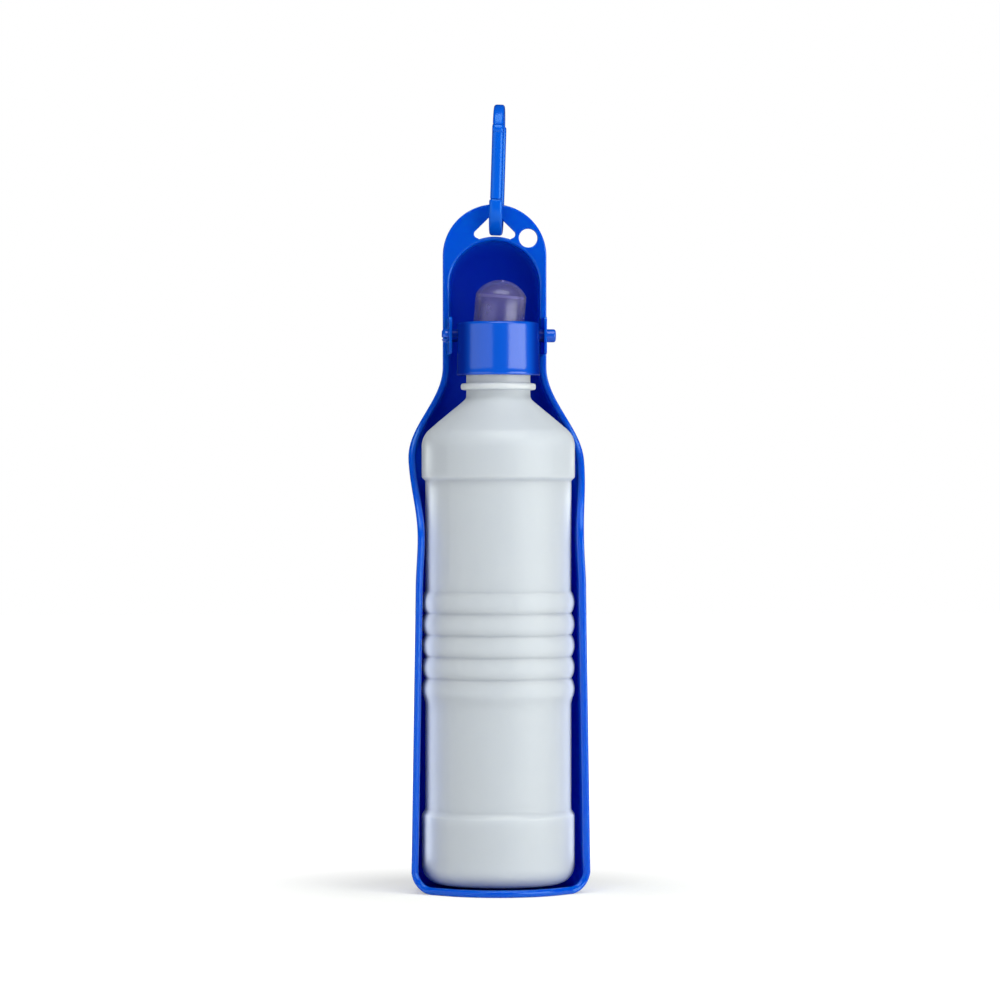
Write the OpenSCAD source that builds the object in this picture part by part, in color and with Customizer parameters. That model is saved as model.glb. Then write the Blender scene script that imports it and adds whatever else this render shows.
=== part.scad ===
// Travel water bottle for dogs: a squeeze bottle that swings out of a long drinking trough.
// Millimetres, +Z up. The origin is on the bottle's axis, in the plane that the trough stands on.
// -Y is the open front of the trough, +Y its back.

/* [Bottle] */
// Diameter over the two smooth bands and the ribs
bottle_d = 61.3; // [56:0.1:66]
// Diameter of the recessed panels
panel_d = 58.5; // [52:0.1:60]
// Height from the base to the start of the shoulder
body_h = 174.6; // [150:0.1:190]
// Height of the shoulder, up to the foot of the neck
shoulder_h = 19.2; // [16:0.1:26]
// Height of the lower smooth band
low_band_h = 27.2; // [18:0.1:34]
// Height of the upper smooth band
top_band_h = 12.2; // [6:0.1:16]
// Radius of the heel
heel_r = 7.6; // [5:0.1:9]
// Height of the pushed-up centre of the base
push_up = 3.2; // [1:0.1:5]
// Number of grip ribs
rib_count = 5; // [3:1:6]
// Spacing of the grip ribs
rib_pitch = 8.64; // [6:0.01:10]
// Height from the base to the foot of the lowest rib
rib_foot = 73.5; // [60:0.1:76]
// Wall of the bottle
bottle_wall = 1.1; // [0.8:0.1:1.6]

/* [Neck] */
// Diameter of the neck
neck_d = 25.6; // [24:0.1:27]
// Height of the neck under the bead
neck_foot_h = 3.4; // [2:0.1:5]
// Diameter of the bead that the neck is held by when it is filled
bead_d = 30; // [28.5:0.1:31]
// Thickness of the bead
bead_t = 2.6; // [1.6:0.1:3]
// Pitch of the screw thread
thread_pitch = 3.2; // [2.7:0.1:3.6]
// Depth of the screw thread
thread_depth = 0.9; // [0.7:0.05:1]
// Turns of thread on the neck
thread_turns = 1.5; // [1:0.25:2]

/* [Screw cap] */
// Diameter of the cap at its top
cap_top_d = 32.8; // [32.6:0.1:33.4]
// Diameter of the cap at its rim
cap_rim_d = 33.5; // [33:0.1:34]
// Height of the cap
cap_h = 21.3; // [19:0.1:24]
// Thickness of the cap's top
cap_top_t = 1.6; // [1.2:0.1:2.4]
// Gap between the bead and the cap's rim
cap_gap = 3.1; // [1:0.1:5]
// Diameter of the pins that the cap swings on
pin_d = 5.3; // [4:0.1:6]
// Distance from the cap's top down to the pins
pin_drop = 5.1; // [4.5:0.1:8]
// Distance of the pins behind the bottle's axis
pin_back = 4.3; // [3.8:0.1:5]
// Half the length over the ends of the pins
pin_reach = 23.4; // [21.5:0.1:25]
// How much shorter the split pin is
split_short = 1; // [0:0.1:1.4]
// Width of the slot in the split pin
split_w = 0.8; // [0.5:0.1:1.2]

/* [Nozzle] */
// Diameter of the nozzle
nozzle_d = 20.4; // [18:0.1:20.6]
// Height of the nozzle over the cap
nozzle_h = 17.1; // [13:0.1:17.5]
// Wall of the nozzle's dome
nozzle_wall = 1.2; // [0.9:0.1:1.6]
// Lean of the soft nozzle to the right
nozzle_lean = 4.5; // [0:0.5:5]
// Diameter of the outlet at its top
outlet_d = 3; // [2:0.1:5]
// Width of the flange that the cap holds the nozzle by
nozzle_flange_w = 1.9; // [1.2:0.1:2.2]
// Thickness of that flange
nozzle_flange_t = 1.2; // [0.8:0.1:1.6]
// Thickness of the slit valve
valve_t = 1; // [0.6:0.1:1.6]
// Gap between the slit valve and the start of the dome over it
valve_drop = 0.15; // [0.05:0.05:5]
// Length of each slit in the valve
slit_l = 7; // [4:0.1:9]
// Thickness of the sealing ring
seal_t = 1; // [0.6:0.1:1.6]

/* [Trough] */
// Wall of the trough
wall_t = 1.4; // [1.2:0.1:1.8]
// Thickness of the floor
floor_t = 1.6; // [1.2:0.1:2.2]
// Width of the flange outside the wall
flange_w = 1.4; // [1:0.1:2]
// Thickness of the flange and of the head plate
flange_t = 2.2; // [1.8:0.1:2.8]
// How far the flange stands in front of the bottle's axis
rim_front = 15; // [8:0.1:20]
// Radius of the lower corners
corner_r = 8; // [6:0.1:10]
// Height of the lip round the front of the floor
lip_h = 2.9; // [2.4:0.1:3.4]
// Width of that lip
lip_w = 1.8; // [1.4:0.1:2.2]
// Height of the waist under the bulge
waist_z = 142; // [138:0.1:146]

/* [Head] */
// How much wider the head's round top is than the head beside the cap, on each side
head_spread = 0; // [0:0.1:1]
// Height of the head plate over the hood
plate_h = 13.3; // [13:0.1:14]
// How far the head plate's front lies behind the bottle's axis
head_back = 18; // [17.5:0.1:20]
// Height of the head plate's arc centre over the pins
head_arc_h = 32.7; // [32:0.1:33]
// Height of the two ears that hold the pins
ear_h = 14.8; // [11:0.1:16]
// Thickness of each ear
ear_t = 1.4; // [1.2:0.1:2]
// Width of plastic in front of the pin hole
ear_front = 1.6; // [1.2:0.1:3]
// Diameter of the round hanging hole
hang_d = 7.6; // [6:0.1:8]
// Width of plastic between the hanging hole and the hood
hang_land = 0.2; // [0.1:0.1:0.6]
// Distance of the hanging hole from the middle
hang_x = 13.6; // [13:0.1:14]
// Width of the three-sided hole that the clip passes through
clip_hole_w = 16.8; // [15:0.1:17]
// Height of its slanted sides over its lower corners
clip_hole_h = 8.3; // [7.5:0.1:8.4]
// Radius of its corners
clip_hole_r = 1.6; // [1:0.1:2]

/* [Clip] */
// Length of the clip
clip_l = 53; // [48:0.1:60]
// Width of the clip across its loop
clip_w = 21.5; // [19:0.1:22]
// Depth of its bars
bar_t = 4.4; // [3.6:0.1:4.6]
// Thickness of the spine, the lower bend and the nose
spine_w = 5.3; // [4.8:0.1:5.6]
// Thickness of the upper bend
bow_w = 4.3; // [4:0.1:4.6]
// Thickness of the gate
gate_w = 4.6; // [4.4:0.1:4.8]
// Height of the nose over the head plate's edge
nose_h = 1.3; // [0.8:0.1:2]
// Diameter of the gate's pin
gate_pin_d = 1.6; // [1.2:0.1:1.8]
// Turn of the clip about the vertical
clip_turn = -6.8; // [-8:0.1:8]
// Lean of the clip to the right
clip_lean = 1.7; // [-2:0.1:2]
// Place of the clip to the right of the middle
clip_x = 0.8; // [-1:0.1:1]

/* [Clearances] */
// Between the bottle's base and the floor
base_gap = 1.4; // [1.4:0.1:2]
// Between the bottle's band and the trough at the bulge
bulge_gap = 1.95; // [1:0.05:3]
// Between the panel and the trough at the waist
waist_gap = 1.05; // [0.6:0.05:2]
// Between the ribs and the trough
rib_gap = 0.45; // [0.4:0.05:1.2]
// Between the bottle's band and the trough at the bottom
bottom_gap = 2.15; // [1:0.05:3]
// Between the bottle and the trough's back
back_gap = 1.2; // [0.6:0.1:2.5]
// Between the cap's rim and each ear
ear_gap = 1.75; // [1:0.05:2.5]
// Round a pin in its hole, on the radius
pin_play = 0.08; // [0.04:0.01:0.1]
// Between the flanks and crests of the two threads
thread_play = 0.35; // [0.25:0.05:0.4]
// Round the nozzle in the cap's top
nozzle_play = 0.35; // [0.3:0.05:0.6]
// Between faces that meet across a joint
face_play = 0.05; // [0.03:0.01:0.1]
// Round the moving parts of the clip
clip_play = 0.15; // [0.1:0.05:0.2]

/* [Hidden] */
$fn = 96;

// Levels of the bottle and its cap, over the plane that the trough stands on
base_z = floor_t + base_gap;
neck_z = base_z + body_h + shoulder_h;
bead_z = neck_z + neck_foot_h;
cap_z = bead_z + bead_t + cap_gap;
cap_top_z = cap_z + cap_h;
ceiling_z = cap_top_z - cap_top_t;
flange_z = ceiling_z - nozzle_flange_t;
seal_z = flange_z - face_play - seal_t;
neck_top_z = seal_z - face_play;
pin_z = cap_top_z - pin_drop;
band_r = bottle_d / 2;
panel_r = panel_d / 2;
neck_r = neck_d / 2;
thread_crest_r = neck_r + thread_depth;
// The shoulder: a rounding, and a cone that runs from it to the foot of the neck
shoulder_r = 9;
cone_top_r = neck_r + 1.2;
cone_top_z = neck_z - 1.2;
cone_run = [cone_top_r - band_r + shoulder_r, cone_top_z - base_z - body_h];
cone_turn = atan2(cone_run[1], cone_run[0]) - acos(shoulder_r / norm(cone_run));
step_h = 1.6;
low_step_h = 2.8;

// Levels and half widths of the trough, each tied to what the trough holds there
shell_w = wall_t + flange_w;
bottom_hw = band_r + bottom_gap + shell_w;
rib_hw = band_r + rib_gap + shell_w;
waist_hw = panel_r + waist_gap + shell_w;
bulge_hw = band_r + bulge_gap + shell_w;
ear_in = cap_rim_d / 2 + ear_gap;
hood_in_r = ear_in - 0.3;
hood_r = hood_in_r + wall_t;
head_hw = hood_r + flange_w;
head_r = head_hw + head_spread;
rib_top_z = base_z + rib_foot + rib_count * rib_pitch;
bulge_z = base_z + body_h - 5.3;
neck_in_z = neck_z + 13.2;
rim_turn_z = neck_z - 5;
rim_end_z = waist_z - 4;
back_in = band_r + back_gap;
back_out = back_in + wall_t;
head_arc_z = pin_z + head_arc_h;
head_top_z = head_arc_z + head_r;
hood_z = head_top_z - plate_h - hood_r;
lip_r = band_r + wall_t + 0.5;
disc_r = lip_r - 0.15;

// The clip hangs on the strip of plate over its hole
hole_foot_z = hood_z + hood_r + 1.2;
hole_top_z = hole_foot_z + clip_hole_h;
strip_z = (hole_top_z + head_top_z) / 2;
strip_y = head_back + flange_t / 2;
clip_r = clip_w / 2;
clip_in_r = clip_r - bar_t;
bow_z = clip_l - 2 * clip_r;
bar_y = clip_in_r + bar_t / 2;
nose_z = head_top_z - strip_z + nose_h;
web_t = 1.2;
tongue_w = 1.9;
tongue_l = 1.5;
knuckle_r = 2.6;

SIDES = 28;
ARC_STEPS = 12;
// The hood's levels run from just over its middle to its top, as angles of its arc
hood_turns = [for (i = [0:ARC_STEPS]) 0.4 + (88 - 0.4) * i / ARC_STEPS];
// How much plate the lug has beside and over its hole
lug_land = 0.7;

// A number that goes from a to b along half a cosine wave as t goes from 0 to 1
function ease(a, b, t) = a + (b - a) * (1 - cos(180 * min(1, max(0, t)))) / 2;
function share(z, low, high) = (z - low) / (high - low);
function arc(r, x, y, from, to, steps) =
    [for (i = [0:steps]) let (a = from + (to - from) * i / steps) [x + r * cos(a), y + r * sin(a)]];

// Half the width over the flange, at height z
function outline_hw(z) =
    z > head_arc_z ? head_r * sqrt(max(0, 1 - pow((z - head_arc_z) / head_r, 2))) :
    z > neck_in_z ? ease(head_hw, head_r, share(z, neck_in_z, head_arc_z)) :
    z > bulge_z ? ease(bulge_hw, head_hw, share(z, bulge_z, neck_in_z)) :
    z > waist_z ? ease(waist_hw, bulge_hw, share(z, waist_z, bulge_z)) :
    z > rib_top_z ? ease(rib_hw, waist_hw, share(z, rib_top_z, waist_z)) :
    z > corner_r ? bottom_hw + (rib_hw - bottom_hw) * share(z, corner_r, rib_top_z) :
    bottom_hw - corner_r + sqrt(max(0, pow(corner_r, 2) - pow(corner_r - z, 2)));

// Where the flange's front face lies, at height z
function rim_y(z) = ease(head_back, -rim_front, share(-z, -rim_turn_z, -rim_end_z));

// Half a superellipse: the round back of a section, from left to right
function back_arc(half_w, side, back, power) =
    [for (i = [0:SIDES]) let (a = 180 - 180 * i / SIDES)
        [half_w * sign(cos(a)) * pow(abs(cos(a)), 2 / power), side + (back - side) * pow(sin(a), 2 / power)]];

// How boxy the back of a section is: round in the body, squarer in the head
function boxiness(z) = ease(2, 2.5, share(z, bulge_z, neck_in_z));

// How far a corner of radius r pulls a wall in at a height h over its foot
function pull_in(r, h) = r - sqrt(max(0, r * r - pow(max(0, r - h), 2)));

function at(points, z) = [for (p = points) [p[0], p[1], z]];
function backwards(points) = [for (i = [len(points) - 1:-1:0]) points[i]];

// One level of the shell: the inner wall from left to right, then the flange and the outer wall back to the left
// The outer wall starts at wall_from, a half width and a distance behind the flange's back
function shell_level(z_in, z_out, hw_in, hw_out, hw, front, deep, wall_from, back_in, back_out, power) =
    let (wall = [wall_from[0], front + deep + wall_from[1]])
    concat(
        at([[-hw_in, front]], z_in),
        at(back_arc(hw_in, max(0, front + 0.4), back_in, power), z_in),
        at([[hw_in, front]], z_in),
        at([[hw, front], [hw, front + deep], wall], z_out),
        at(backwards(back_arc(hw_out, max(0, front + deep + 0.4), back_out, power)), z_out),
        at([[-wall[0], wall[1]], [-hw, front + deep], [-hw, front]], z_out));

function body_level(z) = let (
    w = outline_hw(max(z, corner_r)),
    inner = pull_in(corner_r - wall_t, z - floor_t),
    outer = pull_in(corner_r, z),
    hw_out = w - flange_w - outer)
    shell_level(z, z, w - shell_w - inner, hw_out, w - outer, rim_y(z), flange_t, [hw_out, 0],
                back_in - inner, back_out - outer, boxiness(z));

// Over its middle the hood has no flange: the head plate stands round it
function hood_level(a) = let (in = head_back + 0.4, out = in + flange_t, hw = hood_r * cos(a))
    shell_level(hood_z + hood_in_r * sin(a), hood_z + hood_r * sin(a),
                hood_in_r * cos(a), hw - 0.03, hw, head_back, flange_t, [hw - 0.005, 0.2],
                in + (back_in - in) * cos(a), out + (back_out - out) * cos(a), boxiness(hood_z));

// The trough's shell with its flange and floor: one closed surface
module trough_shell() {
    disc_x = bottom_hw - corner_r - 0.2;
    disc = [for (i = [0:24]) let (x = asin(disc_x / disc_r) * (i - 12) / 12) [disc_r * sin(x), -disc_r * cos(x)]];
    foot = [for (i = [0:2]) corner_r * (1 - cos(90 * i / 7))];
    levels = concat(
        [for (i = [0:7]) floor_t + (corner_r - wall_t) * (1 - cos(90 * i / 7))],
        [rib_top_z],
        [for (i = [1:21]) rib_top_z + (hood_z - rib_top_z) * i / 21]);
    loops = concat([for (z = levels) body_level(z)], [for (a = hood_turns) hood_level(a)]);
    in_end = SIDES + 2;
    n = len(loops[0]);
    n_foot = n - in_end - 1 + len(disc);
    // The floor's rings: the outside of a level, closed by the disc's front edge
    rings = [for (z = foot) let (level = body_level(z)) concat([for (i = [in_end + 1:n - 1]) level[i]], at(disc, z))];
    first = n_foot * len(rings);
    last = first + n * (len(loops) - 1);
    rim = first + n * len(loops);
    function over(i) = i < n - in_end - 1 ? first + in_end + 1 + i : rim + i - (n - in_end - 1);
    polyhedron(
        points = concat([for (r = rings) each r], [for (l = loops) each l], at(disc, floor_t)),
        faces = concat(
            [[for (i = [0:n_foot - 1]) i]],
            [for (k = [0:len(rings) - 2], i = [0:n_foot - 1]) let (b = k * n_foot, j = (i + 1) % n_foot)
                each [[b + i, b + n_foot + i, b + n_foot + j], [b + i, b + n_foot + j, b + j]]],
            [for (i = [0:n_foot - 1]) let (b = first - n_foot, j = (i + 1) % n_foot)
                each [[b + i, over(i), over(j)], [b + i, over(j), b + j]]],
            [concat([for (i = [0:in_end]) first + i], [for (i = [24:-1:0]) rim + i])],
            [[first + in_end, first + in_end + 1, rim + 24], [first + n - 1, first, rim]],
            [for (k = [0:len(loops) - 2], i = [0:n - 1]) let (b = first + k * n, j = (i + 1) % n)
                each [[b + i, b + n + i, b + n + j], [b + i, b + n + j, b + j]]],
            [[for (i = [in_end:-1:0]) last + i],
             [for (i = [n - 1:-1:in_end + 1]) last + i],
             [last, last + n - 1, last + in_end + 1, last + in_end]]),
        convexity = 8);
}

// A plate that stands in the XZ plane, with its front at y
module standing_plate(y, t) {
    translate([0, y + t, 0])
        rotate([90, 0, 0])
            linear_extrude(t)
                children();
}

// The head plate's outline: it stands on the flange's ends and follows the hood's levels
module head_outline() {
    polygon(concat(
        [[head_r, hood_z]],
        arc(head_r, 0, head_arc_z, 0, 180, 48),
        [[-head_r, hood_z]],
        [for (a = hood_turns) [-hood_r * cos(a), hood_z + hood_r * sin(a)]],
        [for (i = [ARC_STEPS:-1:0]) let (a = hood_turns[i]) [hood_r * cos(a), hood_z + hood_r * sin(a)]]));
}

// The three-sided hole: slanted sides with round corners, and a foot that follows the hood
module clip_hole_outline() {
    corner_x = clip_hole_w / 2 - clip_hole_r;
    apex_z = hole_top_z - clip_hole_r;
    slope = atan((apex_z - hole_foot_z) / corner_x);
    difference() {
        polygon(concat(
            arc(clip_hole_r, corner_x, hole_foot_z, -90, 90 - slope, 10),
            arc(clip_hole_r, 0, apex_z, 90 - slope, 90 + slope, 10),
            arc(clip_hole_r, -corner_x, hole_foot_z, 90 + slope, 270, 10)));
        translate([0, hood_z])
            circle(hood_r + hang_land);
    }
}

// The lip round the front of the floor
module front_lip() {
    reach = asin((rim_front - flange_t / 2) / lip_r);
    translate([0, 0, 0.2])
        rotate([0, 0, 180 + reach])
            rotate_extrude(angle = 180 - 2 * reach)
                translate([lip_r - lip_w, 0])
                    square([lip_w, lip_h - 0.2]);
}

// An ear: a tab that stands forward from the head's flange and holds one pin
module ear(side) {
    front = pin_back - pin_d / 2 - pin_play - ear_front;
    translate([side > 0 ? ear_in : -ear_in - ear_t, front, pin_z - ear_h / 2])
        cube([ear_t, head_back + flange_t / 2 - front, ear_h]);
}

module trough() {
    color("#0050D2")
        difference() {
            union() {
                trough_shell();
                front_lip();
                ear(-1);
                ear(1);
            }
            translate([-pin_reach, pin_back, pin_z])
                rotate([0, 90, 0])
                    cylinder(r = pin_d / 2 + pin_play, h = 2 * pin_reach);
        }
}

// The head plate is part of the same moulding and stands round the hood. Its right side is the lug
module plate_sheet() {
    difference() {
        head_outline();
        clip_hole_outline();
    }
}

module lug_region() {
    left = hang_x - hang_d / 2 - lug_land;
    top = hang_z() + hang_d / 2 + lug_land;
    polygon([[left, hood_z - 1], [head_r + 1, hood_z - 1], [head_r + 1, top], [left, top]]);
}

module head_plate() {
    color("#0050D2")
        standing_plate(head_back, flange_t)
            difference() {
                plate_sheet();
                lug_region();
            }
}

// The right side of the plate, with the round hanging hole
module hanging_lug() {
    color("#0050D2")
        difference() {
            standing_plate(head_back, flange_t)
                intersection() {
                    plate_sheet();
                    lug_region();
                }
            translate([hang_x, head_back + 2 * flange_t, hang_z()])
                rotate([90, 0, 0])
                    cylinder(d = hang_d, h = 3 * flange_t);
        }
}

// The hanging hole's height, from its distance to the hood's outer arc
function hang_z() = hood_z + sqrt(pow(hood_r + hang_land + hang_d / 2, 2) - pow(hang_x, 2));

// The bottle's outline from its axis at the base to the foot of the neck, pulled in by a wall
function bottle_outline(inset) = concat(
    [[0, base_z + push_up + inset],
     [band_r * 0.42, base_z + push_up * 0.75 + inset],
     [band_r - heel_r - 3, base_z + inset]],
    arc(heel_r - inset, band_r - heel_r, base_z + heel_r, -90, 0, 12),
    [[band_r - inset, base_z + low_band_h],
     [panel_r - inset, base_z + low_band_h + low_step_h],
     [panel_r - inset, base_z + rib_foot]],
    [for (n = [0:rib_count - 1], i = [1:8]) let (a = 180 * i / 8)
        [panel_r - inset + (band_r - panel_r) * sin(a), base_z + rib_foot + (n + (1 - cos(a)) / 2) * rib_pitch]],
    [[panel_r - inset, base_z + body_h - top_band_h - step_h],
     [band_r - inset, base_z + body_h - top_band_h]],
    arc(shoulder_r - inset, band_r - shoulder_r, base_z + body_h, 0, cone_turn, 8),
    [[cone_top_r - inset * cos(cone_turn), cone_top_z - inset * sin(cone_turn)],
     [neck_r - inset, neck_z + 0.6]]);

// One screw thread: a ridge wound round the axis, whose section tapers to its crest
module thread_ridge(root_r, crest_r, foot_w, crest_w, foot_z, turns) {
    steps = ceil(turns * 24);
    sides = [for (k = [0:steps])
        let (
            a = 360 * turns * k / steps,
            fade = min(1, (min(k, steps - k) + 0.8) / 3.8),
            tip_r = root_r + (crest_r - root_r) * fade,
            z = foot_z + thread_pitch * turns * k / steps)
        [for (p = [[root_r, -foot_w / 2], [tip_r, -crest_w / 2], [tip_r, crest_w / 2], [root_r, foot_w / 2]])
            [p[0] * cos(a), p[0] * sin(a), z + p[1]]]];
    flip = crest_r > root_r;
    points = [for (ring = sides) each flip ? [ring[3], ring[2], ring[1], ring[0]] : ring];
    polyhedron(
        points = points,
        faces = concat(
            [[0, 1, 2, 3]],
            [for (k = [0:steps - 1], i = [0:3])
                each [[4 * k + i, 4 * k + 4 + i, 4 * k + 4 + (i + 1) % 4],
                      [4 * k + i, 4 * k + 4 + (i + 1) % 4, 4 * k + (i + 1) % 4]]],
            [[4 * steps + 3, 4 * steps + 2, 4 * steps + 1, 4 * steps]]),
        convexity = 6);
}

neck_thread_z = neck_top_z - 2 - thread_pitch * thread_turns;
ridge_foot_w = 1.3;
ridge_crest_w = 0.6;

module bottle() {
    neck_bore_r = neck_r - bottle_wall - 0.3;
    outer = bottle_outline(0);
    inner = bottle_outline(bottle_wall);
    color("#DCE3EA") {
        difference() {
            union() {
                rotate_extrude()
                    polygon(concat(outer,
                        [[neck_r, bead_z],
                         [bead_d / 2 - bead_t / 3, bead_z],
                         [bead_d / 2, bead_z + bead_t / 3],
                         [bead_d / 2, bead_z + 2 * bead_t / 3],
                         [bead_d / 2 - bead_t / 3, bead_z + bead_t],
                         [neck_r, bead_z + bead_t],
                         [neck_r, neck_top_z],
                         [0, neck_top_z]]));
                thread_ridge(neck_r - 0.2, thread_crest_r, ridge_foot_w, ridge_crest_w, neck_thread_z, thread_turns);
            }
            rotate_extrude()
                polygon(concat(inner, [[neck_bore_r, neck_z + 2], [neck_bore_r, neck_top_z + 1], [0, neck_top_z + 1]]));
        }
    }
}

cap_bore_r = thread_crest_r + thread_play;

module screw_cap() {
    color("#0050D2") {
        difference() {
            union() {
                translate([0, 0, cap_z])
                    rotate_extrude()
                        polygon(concat(
                            [[0, 0], [cap_rim_d / 2 - 0.5, 0], [cap_rim_d / 2, 0.5]],
                            arc(1, cap_top_d / 2 - 1, cap_h - 1, 0, 90, 6),
                            [[0, cap_h]]));
                pin(1);
                pin(-1);
            }
            translate([0, 0, cap_z - 1])
                cylinder(r = cap_bore_r, h = cap_h - cap_top_t + 1);
            translate([0, 0, cap_z])
                cylinder(r = nozzle_d / 2 + nozzle_play, h = cap_h + 1);
        }
        thread_ridge(cap_bore_r + 0.2, neck_r + thread_play, ridge_foot_w, ridge_crest_w,
                     neck_thread_z - thread_pitch / 2, thread_turns);
    }
}

// A pin on the cap's side. The right one is plain, the left one is split and snaps into its ear
module pin(side) {
    reach = side > 0 ? pin_reach : pin_reach - split_short;
    inner_x = cap_bore_r;
    tip = 0.9;
    translate([0, pin_back, pin_z])
        rotate([0, 90 * side, 0])
            difference() {
                rotate_extrude()
                    polygon([[0, inner_x - 3], [pin_d / 2, inner_x - 3], [pin_d / 2, reach - tip],
                             [pin_d / 2 - tip * 0.45, reach], [0, reach]]);
                if (side < 0)
                    translate([-split_w / 2 - 1.1, -pin_d, reach - 3])
                        cube([split_w, 2 * pin_d, 4]);
            }
}

module sealing_ring() {
    color("#E8E8E4")
        translate([0, 0, seal_z])
            difference() {
                cylinder(r = neck_r + 0.6, h = seal_t);
                translate([0, 0, -1])
                    cylinder(r = neck_r - bottle_wall - 1.2, h = seal_t + 2);
            }
}

nozzle_top = cap_top_z + nozzle_h - flange_z;
dome_r = nozzle_d * 0.56;
bore_r = nozzle_d / 2 - nozzle_wall;
// The valve lies on a ledge under the level where the inside of the dome starts
dome_foot_z = nozzle_top - dome_r + sqrt(pow(dome_r - nozzle_wall, 2) - pow(bore_r, 2));
valve_z = dome_foot_z - valve_drop - valve_t;

// The nozzle's tube and dome stand on its flange and lean to one side
module leaned() {
    translate([0, 0, flange_z])
        rotate([0, nozzle_lean, 0])
            children();
}

// Half a section of the dome: from the wall of radius r to the axis, or to a hole of radius hole
function dome_outline(r, radius, hole) = let (c = nozzle_top - dome_r)
    arc(radius, 0, c, acos(r / radius), acos(hole / radius), 10);

module nozzle() {
    color("#A9B0D8")
        difference() {
            union() {
                translate([0, 0, flange_z])
                    cylinder(r = nozzle_d / 2 + nozzle_flange_w, h = nozzle_flange_t);
                leaned()
                    rotate_extrude()
                        polygon(concat([[0, 0.9], [nozzle_d / 2, 0.9]], dome_outline(nozzle_d / 2, dome_r, 0)));
            }
            leaned()
                rotate_extrude()
                    polygon(concat(
                        [[0, -3], [bore_r - 1, -3], [bore_r - 1, valve_z], [bore_r, valve_z]],
                        dome_outline(bore_r, dome_r - nozzle_wall, outlet_d / 2),
                        [[outlet_d / 2, nozzle_top + 1], [0, nozzle_top + 1]]));
        }
}

module slit_valve() {
    color("#D8DCE8")
        leaned()
            translate([0, 0, valve_z])
                difference() {
                    cylinder(r = bore_r - 0.05, h = valve_t);
                    for (turn = [0, 90])
                        rotate([0, 0, turn])
                            translate([-slit_l / 2, -0.15, -1])
                                cube([slit_l, 0.3, valve_t + 2]);
                }
}

// Turns the clip's own frame, loop in the YZ plane about the plate's strip, to how it stands
module clip_pose() {
    translate([clip_x, strip_y, strip_z])
        rotate([0, clip_lean, clip_turn])
            children();
}

// A slab cut out in the clip's YZ plane, w thick, centred on it
module clip_slab(w) {
    translate([-w / 2, 0, 0])
        rotate([90, 0, 90])
            linear_extrude(w)
                children();
}

module half_ring(turn) {
    difference() {
        circle(clip_r);
        circle(clip_in_r);
        rotate(turn)
            translate([-2 * clip_r, -2 * clip_r])
                square([4 * clip_r, 2 * clip_r]);
    }
}

module clip_frame() {
    spine_top = bow_z + 2.4;
    color("#0056D8")
        clip_pose()
            difference() {
                union() {
                    clip_slab(spine_w) {
                        half_ring(180);
                        translate([clip_in_r, -0.1])
                            square([bar_t, spine_top + 0.1]);
                        translate([-clip_r, -0.1])
                            square([bar_t, nose_z + 0.1]);
                    }
                    clip_slab(bow_w) {
                        translate([0, bow_z])
                            difference() {
                                half_ring(0);
                                translate([-bar_y, 0])
                                    circle(knuckle_r + clip_play);
                            }
                        translate([clip_in_r, spine_top - 1])
                            square([bar_t, bow_z + 1 - spine_top + 1]);
                    }
                    clip_slab(tongue_w) {
                        difference() {
                            translate([0, bow_z])
                                half_ring(0);
                            translate([-clip_r - 1, bow_z - 1])
                                square([1 + web_t, 2 * bar_t]);
                        }
                        translate([-bar_y, bow_z])
                            circle(knuckle_r - web_t);
                    }
                }
                translate([-spine_w, -bar_y, bow_z])
                    rotate([0, 90, 0])
                        cylinder(d = gate_pin_d, h = 2 * spine_w);
                translate([-tongue_w / 2 - clip_play, -clip_r + web_t, nose_z - tongue_l - clip_play])
                    cube([tongue_w + 2 * clip_play, bar_t, tongue_l + 1]);
            }
}

module clip_gate() {
    color("#0060E0")
        clip_pose()
            difference() {
                union() {
                    clip_slab(gate_w) {
                        translate([-clip_r, nose_z + clip_play])
                            square([bar_t, bow_z - nose_z - clip_play]);
                        translate([-bar_y, bow_z])
                            circle(knuckle_r);
                    }
                    clip_slab(tongue_w)
                        translate([-clip_r + web_t + clip_play, nose_z - tongue_l])
                            square([bar_t - web_t - clip_play, tongue_l + 2]);
                }
                translate([-spine_w, -bar_y, bow_z])
                    rotate([0, 90, 0])
                        cylinder(d = gate_pin_d + 2 * pin_play, h = 2 * spine_w);
                translate([-tongue_w / 2 - clip_play, 0, 0])
                    rotate([90, 0, 90])
                        linear_extrude(tongue_w + 2 * clip_play) {
                            translate([-bar_y, bow_z])
                                circle(knuckle_r - web_t + clip_play);
                            translate([-bar_y, bow_z - knuckle_r + web_t - clip_play])
                                square([2 * bar_t, 2 * bar_t]);
                            translate([-bar_y - knuckle_r + web_t - clip_play, bow_z])
                                square([2 * bar_t, bar_t]);
                        }
            }
}

module gate_pin() {
    color("#C8CCD0")
        clip_pose()
            translate([-bow_w / 2 + 0.05, -bar_y, bow_z])
                rotate([0, 90, 0])
                    cylinder(d = gate_pin_d, h = bow_w - 0.1);
}

trough();
head_plate();
hanging_lug();
bottle();
screw_cap();
sealing_ring();
nozzle();
slit_valve();
clip_frame();
clip_gate();
gate_pin();
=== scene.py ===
"""Looks of the dog travel bottle: trough, squeeze bottle, screw cap, nozzle and clip."""

import itertools
import math

import bmesh
import bpy
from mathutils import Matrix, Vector
from mathutils.geometry import delaunay_2d_cdt


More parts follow.
